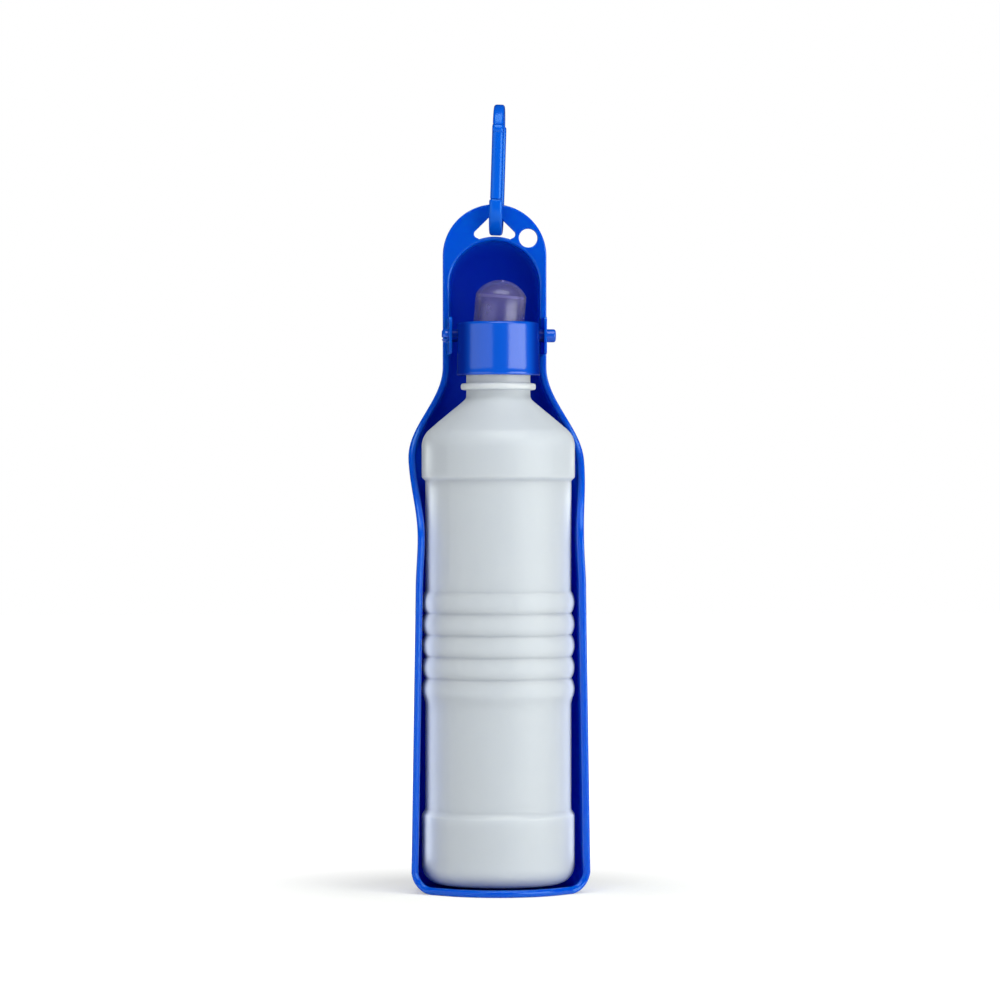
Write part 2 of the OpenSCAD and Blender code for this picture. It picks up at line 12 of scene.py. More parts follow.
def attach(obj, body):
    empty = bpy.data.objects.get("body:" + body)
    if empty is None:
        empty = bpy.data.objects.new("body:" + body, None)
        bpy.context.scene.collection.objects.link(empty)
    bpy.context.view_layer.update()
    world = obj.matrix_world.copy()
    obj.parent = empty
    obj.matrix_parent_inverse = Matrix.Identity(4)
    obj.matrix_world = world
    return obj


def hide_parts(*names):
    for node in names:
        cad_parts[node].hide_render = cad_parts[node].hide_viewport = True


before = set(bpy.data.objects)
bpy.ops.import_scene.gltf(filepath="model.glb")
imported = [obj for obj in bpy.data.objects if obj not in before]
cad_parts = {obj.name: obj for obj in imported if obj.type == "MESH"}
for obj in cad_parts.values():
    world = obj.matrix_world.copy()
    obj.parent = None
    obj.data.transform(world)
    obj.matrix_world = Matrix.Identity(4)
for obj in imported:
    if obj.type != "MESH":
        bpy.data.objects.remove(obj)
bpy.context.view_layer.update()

bl_info = {
    "name": "Dog travel bottle",
    "version": (1, 0, 0),
    "blender": (4, 5, 0),
    "location": "View3D > Sidebar > Travel bottle",
    "description": "Builds a squeeze bottle that swings out of a drinking trough",
    "category": "Add Mesh",
}

MM = 0.001

# Levels over the plane that the trough stands on, in mm
FLOOR_TOP = 1.6
BASE_Z = 3.0
FOOT_Z = 8.0
RIB_TOP_Z = 119.7
RIM_END_Z = 138.0
WAIST_Z = 142.0
BULGE_Z = 172.3
RIM_TURN_Z = 191.8
NECK_FOOT_Z = 197.0
BEAD_Z = 200.2
CAP_Z = 205.9
NECK_IN_Z = 210.0
PIN_Z = 222.1
NECK_TOP_Z = 223.3
NOZZLE_FOOT_Z = 224.4
HOOD_FOOT_Z = 225.0
CEILING_Z = 225.6
CAP_TOP_Z = 227.2
HOOD_Z = 242.9
HEAD_ARC_Z = 254.8

# The trough's half width over its flange, from its foot to its head, in mm
FOOT_HW, RIB_HW, WAIST_HW, BULGE_HW, HEAD_HW = 35.6, 33.9, 33.1, 35.4, 21.0
# How far the flange's front lies before the axis at the foot and behind it at the head
RIM_FRONT, HEAD_BACK = 15.0, 18.0
# Inside and outside of the trough's back and of the hood's arch, as distances and radii
BACK_IN, BACK_OUT = 31.85, 33.25
HOOD_IN, HOOD_OUT = 18.2, 19.6
# Middle of the round corner between wall and floor, the lip's radius, the rolls of the flange's inner edge
CORNER_X, CORNER_Z = 27.2, 8.4
LIP_R = 32.55
ROLL, HOOD_ROLL = 1.6, 1.1
# Levels between which the flange's edges turn slimmer
SLIM_FROM, SLIM_TO = 185.0, 215.0
# Where the pins lie before and behind the axis, and where the clip hangs
PIN_Y = 4.3
STRIP = (0.8, 19.1, 273.9)
# The clip's bends, outside and inside, and its levels over the strip
CLIP_R, CLIP_IN, BOW_Z, NOSE_Z, BAR_Y, KNUCKLE = 10.75, 6.35, 31.5, 3.2, 8.55, 2.6
# The bottle's wall, and the turn of its parting line in degrees
BOTTLE_WALL = 1.1
PARTING = 225.0

# Spacing of the shell's rows in mm, steps round its back, its flange's edges and other roundings, and
# the angle over which an edge stays sharp
ROW_STEP = 1.6
BACK_STEPS, SIDE_STEPS, EDGE_STEPS, ROUND_STEPS, HOOD_STEPS = 72, 8, 7, 4, 30
SHARP_EDGE = math.radians(35)


# ---------------------------------------------------------------- small tools


def linear(hex_colour):
    """An sRGB hex colour as linear red, green, blue and alpha."""
    parts = [int(hex_colour[i : i + 2], 16) / 255 for i in (1, 3, 5)]
    return [c / 12.92 if c <= 0.04045 else ((c + 0.055) / 1.055) ** 2.4 for c in parts] + [1.0]


def clamp(t):
    """t, kept between 0 and 1."""
    return min(1.0, max(0.0, t))


def share(z, low, high):
    """How far z has come: 0 at low, 1 at high."""
    return (z - low) / (high - low)


def mix(a, b, t):
    """From a to b in a straight line as t goes from 0 to 1."""
    return a + (b - a) * t


def ease(a, b, t):
    """From a to b along half a cosine wave as t goes from 0 to 1."""
    return a + (b - a) * (1 - math.cos(math.pi * clamp(t))) / 2


def feed(node, **inputs):
    """Feeds inputs of a node, named with underscores for spaces, from a node or socket, or with a plain value."""
    for key, value in inputs.items():
        feed_one(node, key.replace("_", " "), value)


def feed_one(node, target, value):
    """Feeds one input of a node, by its name or number. A node as value stands for its first output."""
    if isinstance(value, bpy.types.Node):
        value = value.outputs[0]
    if isinstance(value, bpy.types.NodeSocket):
        node.id_data.links.new(value, node.inputs[target])
    else:
        node.inputs[target].default_value = value


def add_node(tree, kind, inputs=(), **settings):
    """Adds a node. Settings name its properties, or its inputs with underscores for spaces.
    Inputs are (node, socket or value, the input's name or number)."""
    made = tree.nodes.new(kind)
    for key, value in settings.items():
        if hasattr(made, key):
            setattr(made, key, value)
        else:
            feed(made, **{key: value})
    for value, target in inputs:
        feed_one(made, target, value)
    return made


def cleared_tree(owner):
    """The node tree of a material or a world, emptied."""
    owner.use_nodes = True
    owner.node_tree.nodes.clear()
    return owner.node_tree


def sweep(name, rings, closed_ring=True, cap=True):
    """A mesh through rings of equal length, in mm, with or without a face over each end."""
    mesh = bpy.data.meshes.new(name)
    n = len(rings[0])
    points = [(p[0] * MM, p[1] * MM, p[2] * MM) for ring in rings for p in ring]
    faces = []
    for k in range(len(rings) - 1):
        a, b = k * n, (k + 1) * n
        for i in range(n if closed_ring else n - 1):
            j = (i + 1) % n
            faces.append((a + i, a + j, b + j, b + i))
    if cap:
        faces.append(tuple(range(n - 1, -1, -1)))
        faces.append(tuple((len(rings) - 1) * n + i for i in range(n)))
    mesh.from_pydata(points, [], faces)
    return mesh


def tidy(mesh, outward=True):
    """Merges doubles, points the faces outwards and smooths all but the sharp edges."""
    work = bmesh.new()
    work.from_mesh(mesh)
    bmesh.ops.remove_doubles(work, verts=work.verts, dist=2e-6)
    bmesh.ops.dissolve_degenerate(work, edges=work.edges, dist=1e-7)
    if outward:
        bmesh.ops.recalc_face_normals(work, faces=work.faces)
    work.to_mesh(mesh)
    work.free()
    mesh.shade_smooth()
    mesh.set_sharp_from_angle(angle=SHARP_EDGE)
    return mesh


def joined(name, meshes):
    """One mesh of several, which are removed."""
    work = bmesh.new()
    for mesh in meshes:
        work.from_mesh(mesh)
        bpy.data.meshes.remove(mesh)
    made = bpy.data.meshes.new(name)
    work.to_mesh(made)
    work.free()
    return made


def new_object(name, data):
    """An object in the scene."""
    made = bpy.data.objects.new(name, data)
    bpy.context.scene.collection.objects.link(made)
    return made


def piece(name, meshes, material, body, replaces=()):
    """Joins meshes into one object, which rides on a body and may stand for CAD nodes."""
    whole = joined(name, meshes)
    whole.shade_smooth()
    whole.materials.append(material)
    made = new_object(name, whole)
    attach(made, body)
    if replaces:
        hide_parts(*replaces)


def arc(cx, cy, radius, start, end, steps):
    """Points of an arc, angles in degrees."""
    turns = [math.radians(mix(start, end, i / steps)) for i in range(steps + 1)]
    return [(cx + radius * math.cos(a), cy + radius * math.sin(a)) for a in turns]


def lathe(name, outline, steps):
    """Turns an outline of (radius, height) points round Z. A point at radius 0 closes the pole."""
    turns = [2 * math.pi * i / steps for i in range(steps)]
    rings = [[(radius * math.cos(a), radius * math.sin(a), height) for a in turns] for radius, height in outline]
    return tidy(sweep(name, rings, cap=False))


def inset(loop, distance):
    """Moves a closed loop to its left by a distance, with mitred corners."""
    out = []
    for i, (u, v) in enumerate(loop):
        before = (Vector((u, v)) - Vector(loop[i - 1])).normalized()
        after = (Vector(loop[(i + 1) % len(loop)]) - Vector((u, v))).normalized()
        along = (before + after).normalized()
        reach = distance / max(0.5, math.sqrt(max(0.0, (1 + before.dot(after)) / 2)))
        out.append((u - along.y * reach, v + along.x * reach))
    return out


def rounded_rings(loop, thickness, rounding, place):
    """The rounded side of a flat piece along a loop, from its front face to its back face."""
    rings = []
    for back in (False, True):
        for i in range(ROUND_STEPS + 1):
            a = math.radians(90 * (ROUND_STEPS - i if back else i) / ROUND_STEPS)
            depth = rounding * (1 - math.cos(a)) - thickness / 2
            moved = inset(loop, rounding * (1 - math.sin(a)))
            rings.append([place(u, v, -depth if back else depth) for u, v in moved])
    return rings


def filled(name, rim, holes, place, depth, turn=1):
    """A flat face inside a rim and outside holes, at a depth."""
    points, edges = [], []
    for loop in [rim] + holes:
        start = len(points)
        points += [Vector(p) for p in loop]
        edges += [(start + i, start + (i + 1) % len(loop)) for i in range(len(loop))]
    found = delaunay_2d_cdt(points, edges, [], 0, 1e-5)
    verts, faces = found[0], found[2]

    def inside(p, loop):
        hit = False
        for i in range(len(loop)):
            (ax, az), (bx, bz) = loop[i - 1], loop[i]
            if (az > p.y) != (bz > p.y) and p.x < (bx - ax) * (p.y - az) / (bz - az) + ax:
                hit = not hit
        return hit

    kept = []
    for face in faces:
        middle = sum((verts[i] for i in face), Vector((0, 0))) / len(face)
        if inside(middle, rim) and not any(inside(middle, hole) for hole in holes):
            a, b, c = (verts[i] for i in face[:3])
            turns = (b.x - a.x) * (c.y - a.y) - (b.y - a.y) * (c.x - a.x)
            kept.append(tuple(face) if turns * turn > 0 else tuple(reversed(face)))
    mesh = bpy.data.meshes.new(name)
    mesh.from_pydata([Vector(place(v.x, v.y, depth)) * MM for v in verts], [], kept)
    return mesh


def slab(name, outline, holes, thickness, rounding, place):
    """A flat piece with rounded edges. The outline turns to the left, its holes to the right.
    place maps (u, v, depth) to a point in mm."""
    loops = [outline] + holes
    parts = [sweep(name, rounded_rings(loop, thickness, rounding, place), cap=False) for loop in loops]
    faces = [inset(loop, rounding) for loop in loops]
    for depth in (-thickness / 2, thickness / 2):
        parts.append(filled(name, faces[0], faces[1:], place, depth))
    return tidy(joined(name, parts))


def rounded_section(width, depth, rounding):
    """Points (a, d) round a bar's section with rounded corners."""
    points = []
    for index, (sa, sd) in enumerate(((1, 1), (-1, 1), (-1, -1), (1, -1))):
        middle = sa * (width / 2 - rounding), sd * (depth / 2 - rounding)
        points += arc(*middle, rounding, 90 * index, 90 * (index + 1), ROUND_STEPS)
    return points


# ---------------------------------------------------------------- sizes that a user would change


def length(name, description, default):
    """A length in metres."""
    return bpy.props.FloatProperty(name=name, description=description, default=default, unit="LENGTH")


def power(name, description, default):
    """A lamp's power in watts."""
    return bpy.props.FloatProperty(name=name, description=description, default=default, min=0, unit="POWER")


def angle(name, description, degrees):
    """An angle, whose default is given in degrees."""
    return bpy.props.FloatProperty(name=name, description=description, default=math.radians(degrees), subtype="ANGLE")


def colour_of(material, hex_colour):
    """The colour of a material."""
    words = {"name": "Colour", "description": f"Colour of the {material}", "subtype": "COLOR"}
    return bpy.props.FloatVectorProperty(size=4, min=0, max=1, default=linear(hex_colour), **words)


class TroughSettings(bpy.types.PropertyGroup):
    """Sizes and colour of the trough."""

    wall: length("Wall", "Thickness of the trough's wall", 0.0014)
    flange: length("Flange", "Width of the flange over its front", 0.0028)
    flange_depth: length("Flange depth", "Thickness of the flange and the head plate", 0.0022)
    bead: length("Bead", "Rounding of the flange's edges in the body", 0.00085)
    colour: colour_of("moulded polypropylene", "#004FC7")


class BottleSettings(bpy.types.PropertyGroup):
    """Sizes and colour of the blow-moulded bottle."""

    band_radius: length("Band radius", "Radius over the smooth bands", 0.03065)
    panel_radius: length("Panel radius", "Radius of the recessed panels", 0.02925)
    rib_count: bpy.props.IntProperty(name="Ribs", description="Number of grip ribs", default=5, min=1, max=6)
    rib_pitch: length("Rib pitch", "Spacing of the grip ribs", 0.00864)
    rib_depth: length("Rib depth", "How far the grip ribs stand out", 0.00138)
    rib_foot: length("Rib foot", "Height of the lowest rib's foot", 0.0765)
    colour: colour_of("milky polyethylene", "#BFC4CE")


class CapSettings(bpy.types.PropertyGroup):
    """Sizes and colour of the screw cap and of the thread that it shares with the bottle."""

    top_radius: length("Top radius", "Radius of the cap at its top", 0.0164)
    rim_radius: length("Rim radius", "Radius of the cap at its rim", 0.01675)
    pin_radius: length("Pin radius", "Radius of the pins", 0.00265)
    thread_pitch: length("Thread pitch", "Rise of the thread in a turn", 0.0032)
    colour: colour_of("moulded polypropylene", "#004FC7")


class NozzleSettings(bpy.types.PropertyGroup):
    """Sizes and colour of the soft nozzle."""

    radius: length("Radius", "Radius of the nozzle", 0.0102)
    height: length("Height", "Height over the cap", 0.0171)
    lean: angle("Lean", "Lean to the right", 4.5)
    colour: colour_of("clear elastomer", "#B5AFE8")


class ClipSettings(bpy.types.PropertyGroup):
    """Sizes and colour of the clip."""

    bow_width: length("Bow width", "Thickness of the upper bend", 0.0043)
    spine_width: length("Spine width", "Thickness of the spine, lower bend and nose", 0.0053)
    gate_width: length("Gate width", "Thickness of the gate", 0.0046)
    rounding: length("Rounding", "Rounding of the clip's edges", 0.0011)
    colour: colour_of("moulded acetal", "#0055D2")


class StageSettings(bpy.types.PropertyGroup):
    """Lamps and camera."""

    key_power: power("Key", "Power of the softbox on the right", 9.0)
    fill_power: power("Fill", "Power of the softbox on the left", 3.4)
    top_power: power("Overhead", "Power of the softbox over the front", 18.0)
    strip_power: power("Strips", "Power of each small strip tucked behind the flange", 0.0042)
    camera_distance: length("Camera distance", "From the bottle's axis", 1.68)
    camera_height: length("Camera height", "Over the floor", 0.1562)
    camera_turn: angle("Camera turn", "Round the object, to its left", 4.5)


# ---------------------------------------------------------------- materials


def new_material(name):
    """A material, with its tree, its shader and the socket of the object's own coordinates."""
    made = bpy.data.materials.new(name)
    made.use_nodes = True
    tree = made.node_tree
    return made, tree, principled(made), add_node(tree, "ShaderNodeTexCoord").outputs["Object"]


def principled(material):
    """The shader of a material."""
    return next(n for n in material.node_tree.nodes if n.type == "BSDF_PRINCIPLED")


def own_xyz(tree):
    """Sockets of the object's own x, y and z."""
    place = add_node(tree, "ShaderNodeTexCoord")
    return add_node(tree, "ShaderNodeSeparateXYZ", [(place.outputs["Object"], 0)]).outputs


def clouded(tree, spot, colour, shade, stretch, grain, detail):
    """A colour, clouded by a darker shade of it: the grain in mm, drawn out along Z by a stretch below 1."""
    drawn = add_node(tree, "ShaderNodeMapping", [(spot, "Vector")], Scale=(1.0, 1.0, stretch))
    cloud = add_node(tree, "ShaderNodeTexNoise", [(drawn, "Vector")], Scale=1 / (grain * MM), Detail=detail)
    dark = [c * shade for c in colour[:3]] + [1.0]
    return add_node(tree, "ShaderNodeMix", [(cloud, 0), (dark, 6), (colour, 7)], data_type="RGBA").outputs[2]


def moulded_plastic(name, colour, roughness, grain_mm, orange_peel, haze):
    """A glossy injection moulding: an even body colour with faint cloudiness from the melt's flow,
    a polished tool's gloss that a very low, long wave ("orange peel") breaks, and fine dulling in patches."""
    made, tree, shader, spot = new_material(name)
    tone = clouded(tree, spot, colour, 0.9, 0.35, 22, 3.0)
    dull = add_node(tree, "ShaderNodeTexNoise", [(spot, "Vector")], Scale=1 / (9 * MM), Detail=4.0)
    rough = add_node(tree, "ShaderNodeMapRange", [(dull, "Value")], To_Min=roughness, To_Max=roughness + haze)
    peel = add_node(tree, "ShaderNodeTexNoise", [(spot, "Vector")], Scale=1 / (grain_mm * MM), Detail=1.5)
    bump = add_node(tree, "ShaderNodeBump", [(peel, "Height")], Strength=orange_peel, Distance=0.05 * MM)
    feed(shader, Base_Color=tone, Roughness=rough, Normal=bump, IOR=1.49)
    return made


def polypropylene(name, colour):
    """Injection-moulded polypropylene: saturated, glossy, slightly waxy."""
    return moulded_plastic(name, colour, 0.16, 2.6, 0.25, 0.05)


def acetal(name, colour):
    """Injection-moulded acetal: harder than the trough's plastic, with a tighter gloss whose highlights
    take on some of the blue."""
    made = moulded_plastic(name, colour, 0.18, 2.4, 0.05, 0.04)
    feed(principled(made), Specular_Tint=(0.35, 0.85, 0.95, 1.0))
    return made


def thin_wall_glow(made):
    """Light gets through the thin blue wall and comes out a deep blue; the highlights are bluish too."""
    shader = principled(made)
    feed(shader, Subsurface_Weight=0.85, Subsurface_Radius=(0.05, 0.5, 1.0), Subsurface_Scale=6.0 * MM)
    feed(shader, Specular_Tint=(0.45, 0.85, 0.95, 1.0))


def paint_shade(made, deep, tint, gloss):
    """Paints shade into a material: multiplies its colour by a tint, and lowers its gloss, as far as the socket deep
    says.
    """
    tree, shader = made.node_tree, principled(made)
    source = shader.inputs["Base Color"].links[0].from_socket
    shade = add_node(
        tree, "ShaderNodeMix", [(deep, 0), (source, 6), (tint, 7)], data_type="RGBA", blend_type="MULTIPLY"
    )
    level = add_node(tree, "ShaderNodeMapRange", [(deep, "Value")], To_Min=0.5, To_Max=gloss)
    feed(shader, Base_Color=shade.outputs[2], Specular_IOR_Level=level)


def matt_pocket_painted_shade(made):
    """The head's pocket comes off the tool's core, which is left matt, so it is rougher. Painted shade darkens its
    colour with a blue tint and lowers its gloss, so it looks deeper and duller than the polished outside."""
    tree, shader = made.node_tree, principled(made)
    x, y, _ = own_xyz(tree)
    form = add_node(tree, "ShaderNodeNewGeometry")
    turned = add_node(tree, "ShaderNodeSeparateXYZ", [(form.outputs["Normal"], 0)]).outputs
    start, end = (HEAD_BACK + 0.8) * MM, (HEAD_BACK + 9.0) * MM
    span = {"interpolation_type": "SMOOTHSTEP", "From_Min": start, "From_Max": end}
    behind = add_node(tree, "ShaderNodeMapRange", [(y, "Value")], **span)
    # the inner faces are those whose normal points to the axis
    part = add_node(tree, "ShaderNodeMath", [(x, 0), (turned["X"], 1)], operation="MULTIPLY")
    whole = add_node(tree, "ShaderNodeMath", [(y, 0), (turned["Y"], 1), (part, 2)], operation="MULTIPLY_ADD")
    inner = add_node(tree, "ShaderNodeMath", [(whole, 0), (0.0, 1)], operation="LESS_THAN")
    deep = add_node(tree, "ShaderNodeMath", [(behind, 0), (inner, 1)], operation="MULTIPLY")
    source = shader.inputs["Roughness"].links[0].from_socket
    rough = add_node(tree, "ShaderNodeMath", [(deep, 0), (0.35, 1), (source, 2)], operation="MULTIPLY_ADD")
    feed(shader, Roughness=rough)
    # painted shade over the pocket's inner faces: a dark blue tint and less gloss
    paint_shade(made, deep, (0.3, 0.2, 0.62, 1.0), 0.05)


def shade_sides(made):
    """The cap's sides and the pins beside them lie in the shade of the ears and the trough's walls."""
    tree = made.node_tree
    away = add_node(tree, "ShaderNodeMath", [(own_xyz(tree)["X"], 0)], operation="ABSOLUTE")
    span = {"interpolation_type": "SMOOTHSTEP", "From_Min": 10.6 * MM, "From_Max": 15.0 * MM}
    side = add_node(tree, "ShaderNodeMapRange", [(away, "Value")], **span)
    within = add_node(tree, "ShaderNodeMath", [(away, 0), (19.15 * MM, 1)], operation="LESS_THAN")
    deep = add_node(tree, "ShaderNodeMath", [(side, 0), (within, 1)], operation="MULTIPLY")
    paint_shade(made, deep, (0.25, 0.22, 0.5, 1.0), 0.08)


def blown_polyethylene(name, colour):
    """Extrusion blow-moulded low-density polyethylene: milky and waxy. Light spreads through the wall and
    the hollow behind it, so the bottle looks evenly lit up to its edges. Faint vertical streaks come from
    the parison, clouds from a thicker wall; the neck is painted paler, painted light that offsets the cap's shadow."""
    made, tree, shader, spot = new_material(name)
    x, y, z = own_xyz(tree)
    tone = clouded(tree, spot, colour, 0.95, 0.12, 14, 4.0)
    # painted light: the neck's colour is lifted towards a paler grey, which offsets the shadow that the cap casts on it
    span = {"interpolation_type": "SMOOTHSTEP", "From_Min": 196 * MM, "From_Max": 208 * MM}
    neck_painted_light = add_node(tree, "ShaderNodeMapRange", [(z, "Value")], **span)
    white = add_node(tree, "ShaderNodeMix", [(neck_painted_light, 0), (tone, 6), (linear("#D6D9DD"), 7)], data_type="RGBA")
    # light inside the hollow evens out the shades of the grip ribs, which show best at the bottle's edges
    flat = add_node(tree, "ShaderNodeCombineXYZ", [(x, 0), (y, 1)])
    world = add_node(
        tree, "ShaderNodeVectorTransform", [(flat, 0)], vector_type="NORMAL", convert_from="OBJECT", convert_to="WORLD"
    )
    outward = add_node(tree, "ShaderNodeVectorMath", [(world, 0)], operation="NORMALIZE")
    off = add_node(tree, "ShaderNodeMath", [(z, 0), (98.0 * MM, 1)], operation="SUBTRACT")
    away = add_node(tree, "ShaderNodeMath", [(off, 0)], operation="ABSOLUTE")
    ribbed = add_node(
        tree, "ShaderNodeMapRange", [(away, "Value")], From_Min=24 * MM, From_Max=34 * MM, To_Min=0.9, To_Max=0.0
    )
    form = add_node(tree, "ShaderNodeNewGeometry")
    even = add_node(tree, "ShaderNodeMix", [(ribbed, 0), (form.outputs["Normal"], 4), (outward, 5)], data_type="VECTOR")
    skin = add_node(tree, "ShaderNodeTexNoise", [(spot, "Vector")], Scale=1 / (3.5 * MM), Detail=3.0)
    bump = add_node(
        tree, "ShaderNodeBump", [(skin, "Height"), (even.outputs[1], "Normal")], Strength=0.25, Distance=0.06 * MM
    )
    feed(shader, Base_Color=white.outputs[2], Normal=bump, Roughness=0.45, IOR=1.51)
    feed(shader, Subsurface_Weight=1.0, Subsurface_Radius=(1.0, 1.0, 1.05), Subsurface_Scale=9.0 * MM)
    return made


def clear_elastomer(name, colour):
    """Moulded thermoplastic elastomer: soft, clear but hazy, with a greyish lavender cast."""
    made, tree, shader, spot = new_material(name)
    haze = add_node(tree, "ShaderNodeTexNoise", [(spot, "Vector")], Scale=1 / (6 * MM), Detail=2.0)
    rough = add_node(tree, "ShaderNodeMapRange", [(haze, "Value")], To_Min=0.2, To_Max=0.3)
    bump = add_node(tree, "ShaderNodeBump", [(haze, "Height")], Strength=0.12, Distance=0.06 * MM)
    feed(shader, Base_Color=colour, Roughness=rough, Normal=bump)
    feed(shader, Transmission_Weight=0.9, IOR=1.47)
    return made


def fine_grained(name, kind, grain, strength, depth, stretch=(1.0, 1.0, 1.0), **inputs):
    """A material with a fine relief all over: the texture's grain and the relief's depth in mm."""
    made, tree, shader, spot = new_material(name)
    drawn = add_node(tree, "ShaderNodeMapping", [(spot, "Vector")], Scale=stretch)
    texture = add_node(tree, kind, [(drawn, "Vector")], Scale=1 / (grain * MM))
    bump = add_node(tree, "ShaderNodeBump", [(texture, "Height")], Strength=strength, Distance=depth * MM)
    feed(shader, Normal=bump, **inputs)
    return made


def silicone(name, colour):
    """Moulded silicone: matt and milky."""
    return fine_grained(name, "ShaderNodeTexNoise", 1.2, 0.2, 0.03, Base_Color=colour, Roughness=0.5, IOR=1.41)


def closed_cell_foam(name, colour):
    """Die-cut polyethylene foam: fine closed cells, matt."""
    return fine_grained(name, "ShaderNodeTexVoronoi", 0.4, 0.5, 0.06, Base_Color=colour, Roughness=0.85)


def drawn_steel(name, colour):
    """Drawn stainless wire: bright, with fine lines along its length."""
    look = {"Base_Color": colour, "Metallic": 1.0, "Roughness": 0.28}
    return fine_grained(name, "ShaderNodeTexNoise", 0.15, 0.25, 0.01, (0.05, 1.0, 1.0), **look)


def redress(node, material):
    """Gives a CAD node a material."""
    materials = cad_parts[node].data.materials
    materials.clear()
    materials.append(material)


# ---------------------------------------------------------------- trough


def outline_hw(z):
    """Half the trough's width over its flange at a height, up to the hood."""
    if z > NECK_IN_Z:
        return HEAD_HW
    if z > BULGE_Z:
        return ease(BULGE_HW, HEAD_HW, share(z, BULGE_Z, NECK_IN_Z))
    if z > WAIST_Z:
        return ease(WAIST_HW, BULGE_HW, share(z, WAIST_Z, BULGE_Z))
    if z > RIB_TOP_Z:
        return ease(RIB_HW, WAIST_HW, share(z, RIB_TOP_Z, WAIST_Z))
    return mix(FOOT_HW, RIB_HW, share(z, FOOT_Z, RIB_TOP_Z))


def rim_y(z):
    """Where the flange's front lies at a height."""
    return ease(HEAD_BACK, -RIM_FRONT, share(-z, -RIM_TURN_Z, -RIM_END_Z))


def lip_y(x):
    """Where the lip's front lies, x from the middle: a circle that runs out into the flange."""
    x = abs(x)
    near, far = 23.0, 34.5
    if x <= near:
        return -math.sqrt(LIP_R**2 - x * x)
    y0, w = -math.sqrt(LIP_R**2 - near * near), far - near
    t = min(1.0, (x - near) / w)
    h00, h10, h01 = 2 * t**3 - 3 * t**2 + 1, t**3 - 2 * t**2 + t, -2 * t**3 + 3 * t**2
    return h00 * y0 + h10 * w * (near / -y0) + h01 * -RIM_FRONT


def hood_back(z, side, back, top):
    """How far back the hood reaches at a level: it leans forward from its foot up, like a quarter of an ellipse."""
    t = clamp(share(z, HOOD_FOOT_Z, top))
    return side + (back - side) * math.sqrt(1 - t * t)


def back_path(hw, start_y, start_z, side, back, fullness, z):
    """From a wall's left front round its back to the right front, at level z."""
    left = []
    for i in range(SIDE_STEPS):
        t = i / SIDE_STEPS
        left.append((-hw, mix(start_y, side, t), mix(start_z, z, min(1.0, 1.6 * t))))
    middle = []
    for i in range(BACK_STEPS + 1):
        a = math.pi - math.pi * i / BACK_STEPS
        c, s = math.cos(a), max(0.0, math.sin(a))
        x = hw * math.copysign(abs(c) ** (2 / fullness), c)
        middle.append((x, side + (back - side) * s ** (2 / fullness), z))
    return left + middle + [(-x, y, zz) for x, y, zz in reversed(left)]


def band(origin, n, q, over_in, over_out, wall, deep, reach, r_in, r_out):
    """Left half of the flange's section, from the inner wall over the front to the outer wall.
    n points out of the trough, q from the front to the back."""
    local = [(0.0, reach + 0.7), (-0.1 * over_in, reach + 0.25), (-0.4 * over_in, reach)]
    local += arc(r_in - over_in, r_in, r_in, 180, 270, EDGE_STEPS)
    top = wall + over_out
    local.append((r_in - over_in + (top + over_in - r_in - r_out) / 2, -0.04 * r_out))
    local += arc(top - r_out, r_out, r_out, -90, 0, EDGE_STEPS)
    r_back = min(0.5, over_out * 0.5 + 0.02)
    local += arc(top - r_back, deep - r_back, r_back, 0, 90, 3)
    local += [(wall + 0.3 * over_out, deep + 0.02), (wall, deep + 0.3), (wall, deep + 0.8)]
    return [origin + n * a + q * b for a, b in local]


def mirrored(points):
    """Points on the right for points on the left."""
    return [Vector((-p.x, p.y, p.z)) for p in points]


def row(left, inner, outer):
    """A closed row of the shell: inner wall, right band, outer wall, left band."""
    walls = [[Vector(p) for p in path[1:-1]] for path in (inner, outer)]
    return walls[0] + mirrored(left) + walls[1][::-1] + left[::-1]


def side_rows(wall, flange, deep, bead):
    """The shell's rows from the hood's foot down to the corner."""
    levels, rows = [HOOD_Z], []
    while levels[-1] > CORNER_Z + 1e-6:
        levels.append(max(CORNER_Z, levels[-1] - ROW_STEP))
    for z in levels:
        w = outline_hw(z)
        t = Vector((0, rim_y(z - 0.5) - rim_y(z + 0.5), -1)).normalized()
        narrow = clamp(share(z, SLIM_FROM, SLIM_TO))
        rounds = mix(ROLL, HOOD_ROLL, narrow), mix(bead, 0.5, narrow)
        origin = Vector((flange - w, rim_y(z), z))
        left = band(origin, Vector((-1, 0, 0)), Vector((0, -t.z, t.y)), 0.0, flange - wall, wall, deep, deep, *rounds)
        if z < NECK_IN_Z:
            for p in left:
                p.x -= outline_hw(p.z) - w
        fullness = ease(2.0, 2.5, share(z, BULGE_Z, NECK_IN_Z))
        paths = []
        for end, out, back, arch in ((left[0], 0.0, BACK_IN, HOOD_IN), (left[-1], wall, BACK_OUT, HOOD_OUT)):
            side = max(0.0, end.y + 0.3)
            reach = hood_back(z, side, back, HOOD_Z + arch)
            paths.append(back_path(w - flange + out, end.y, end.z, side, reach, fullness, z))
        rows.append(row(left, *paths))
    return rows


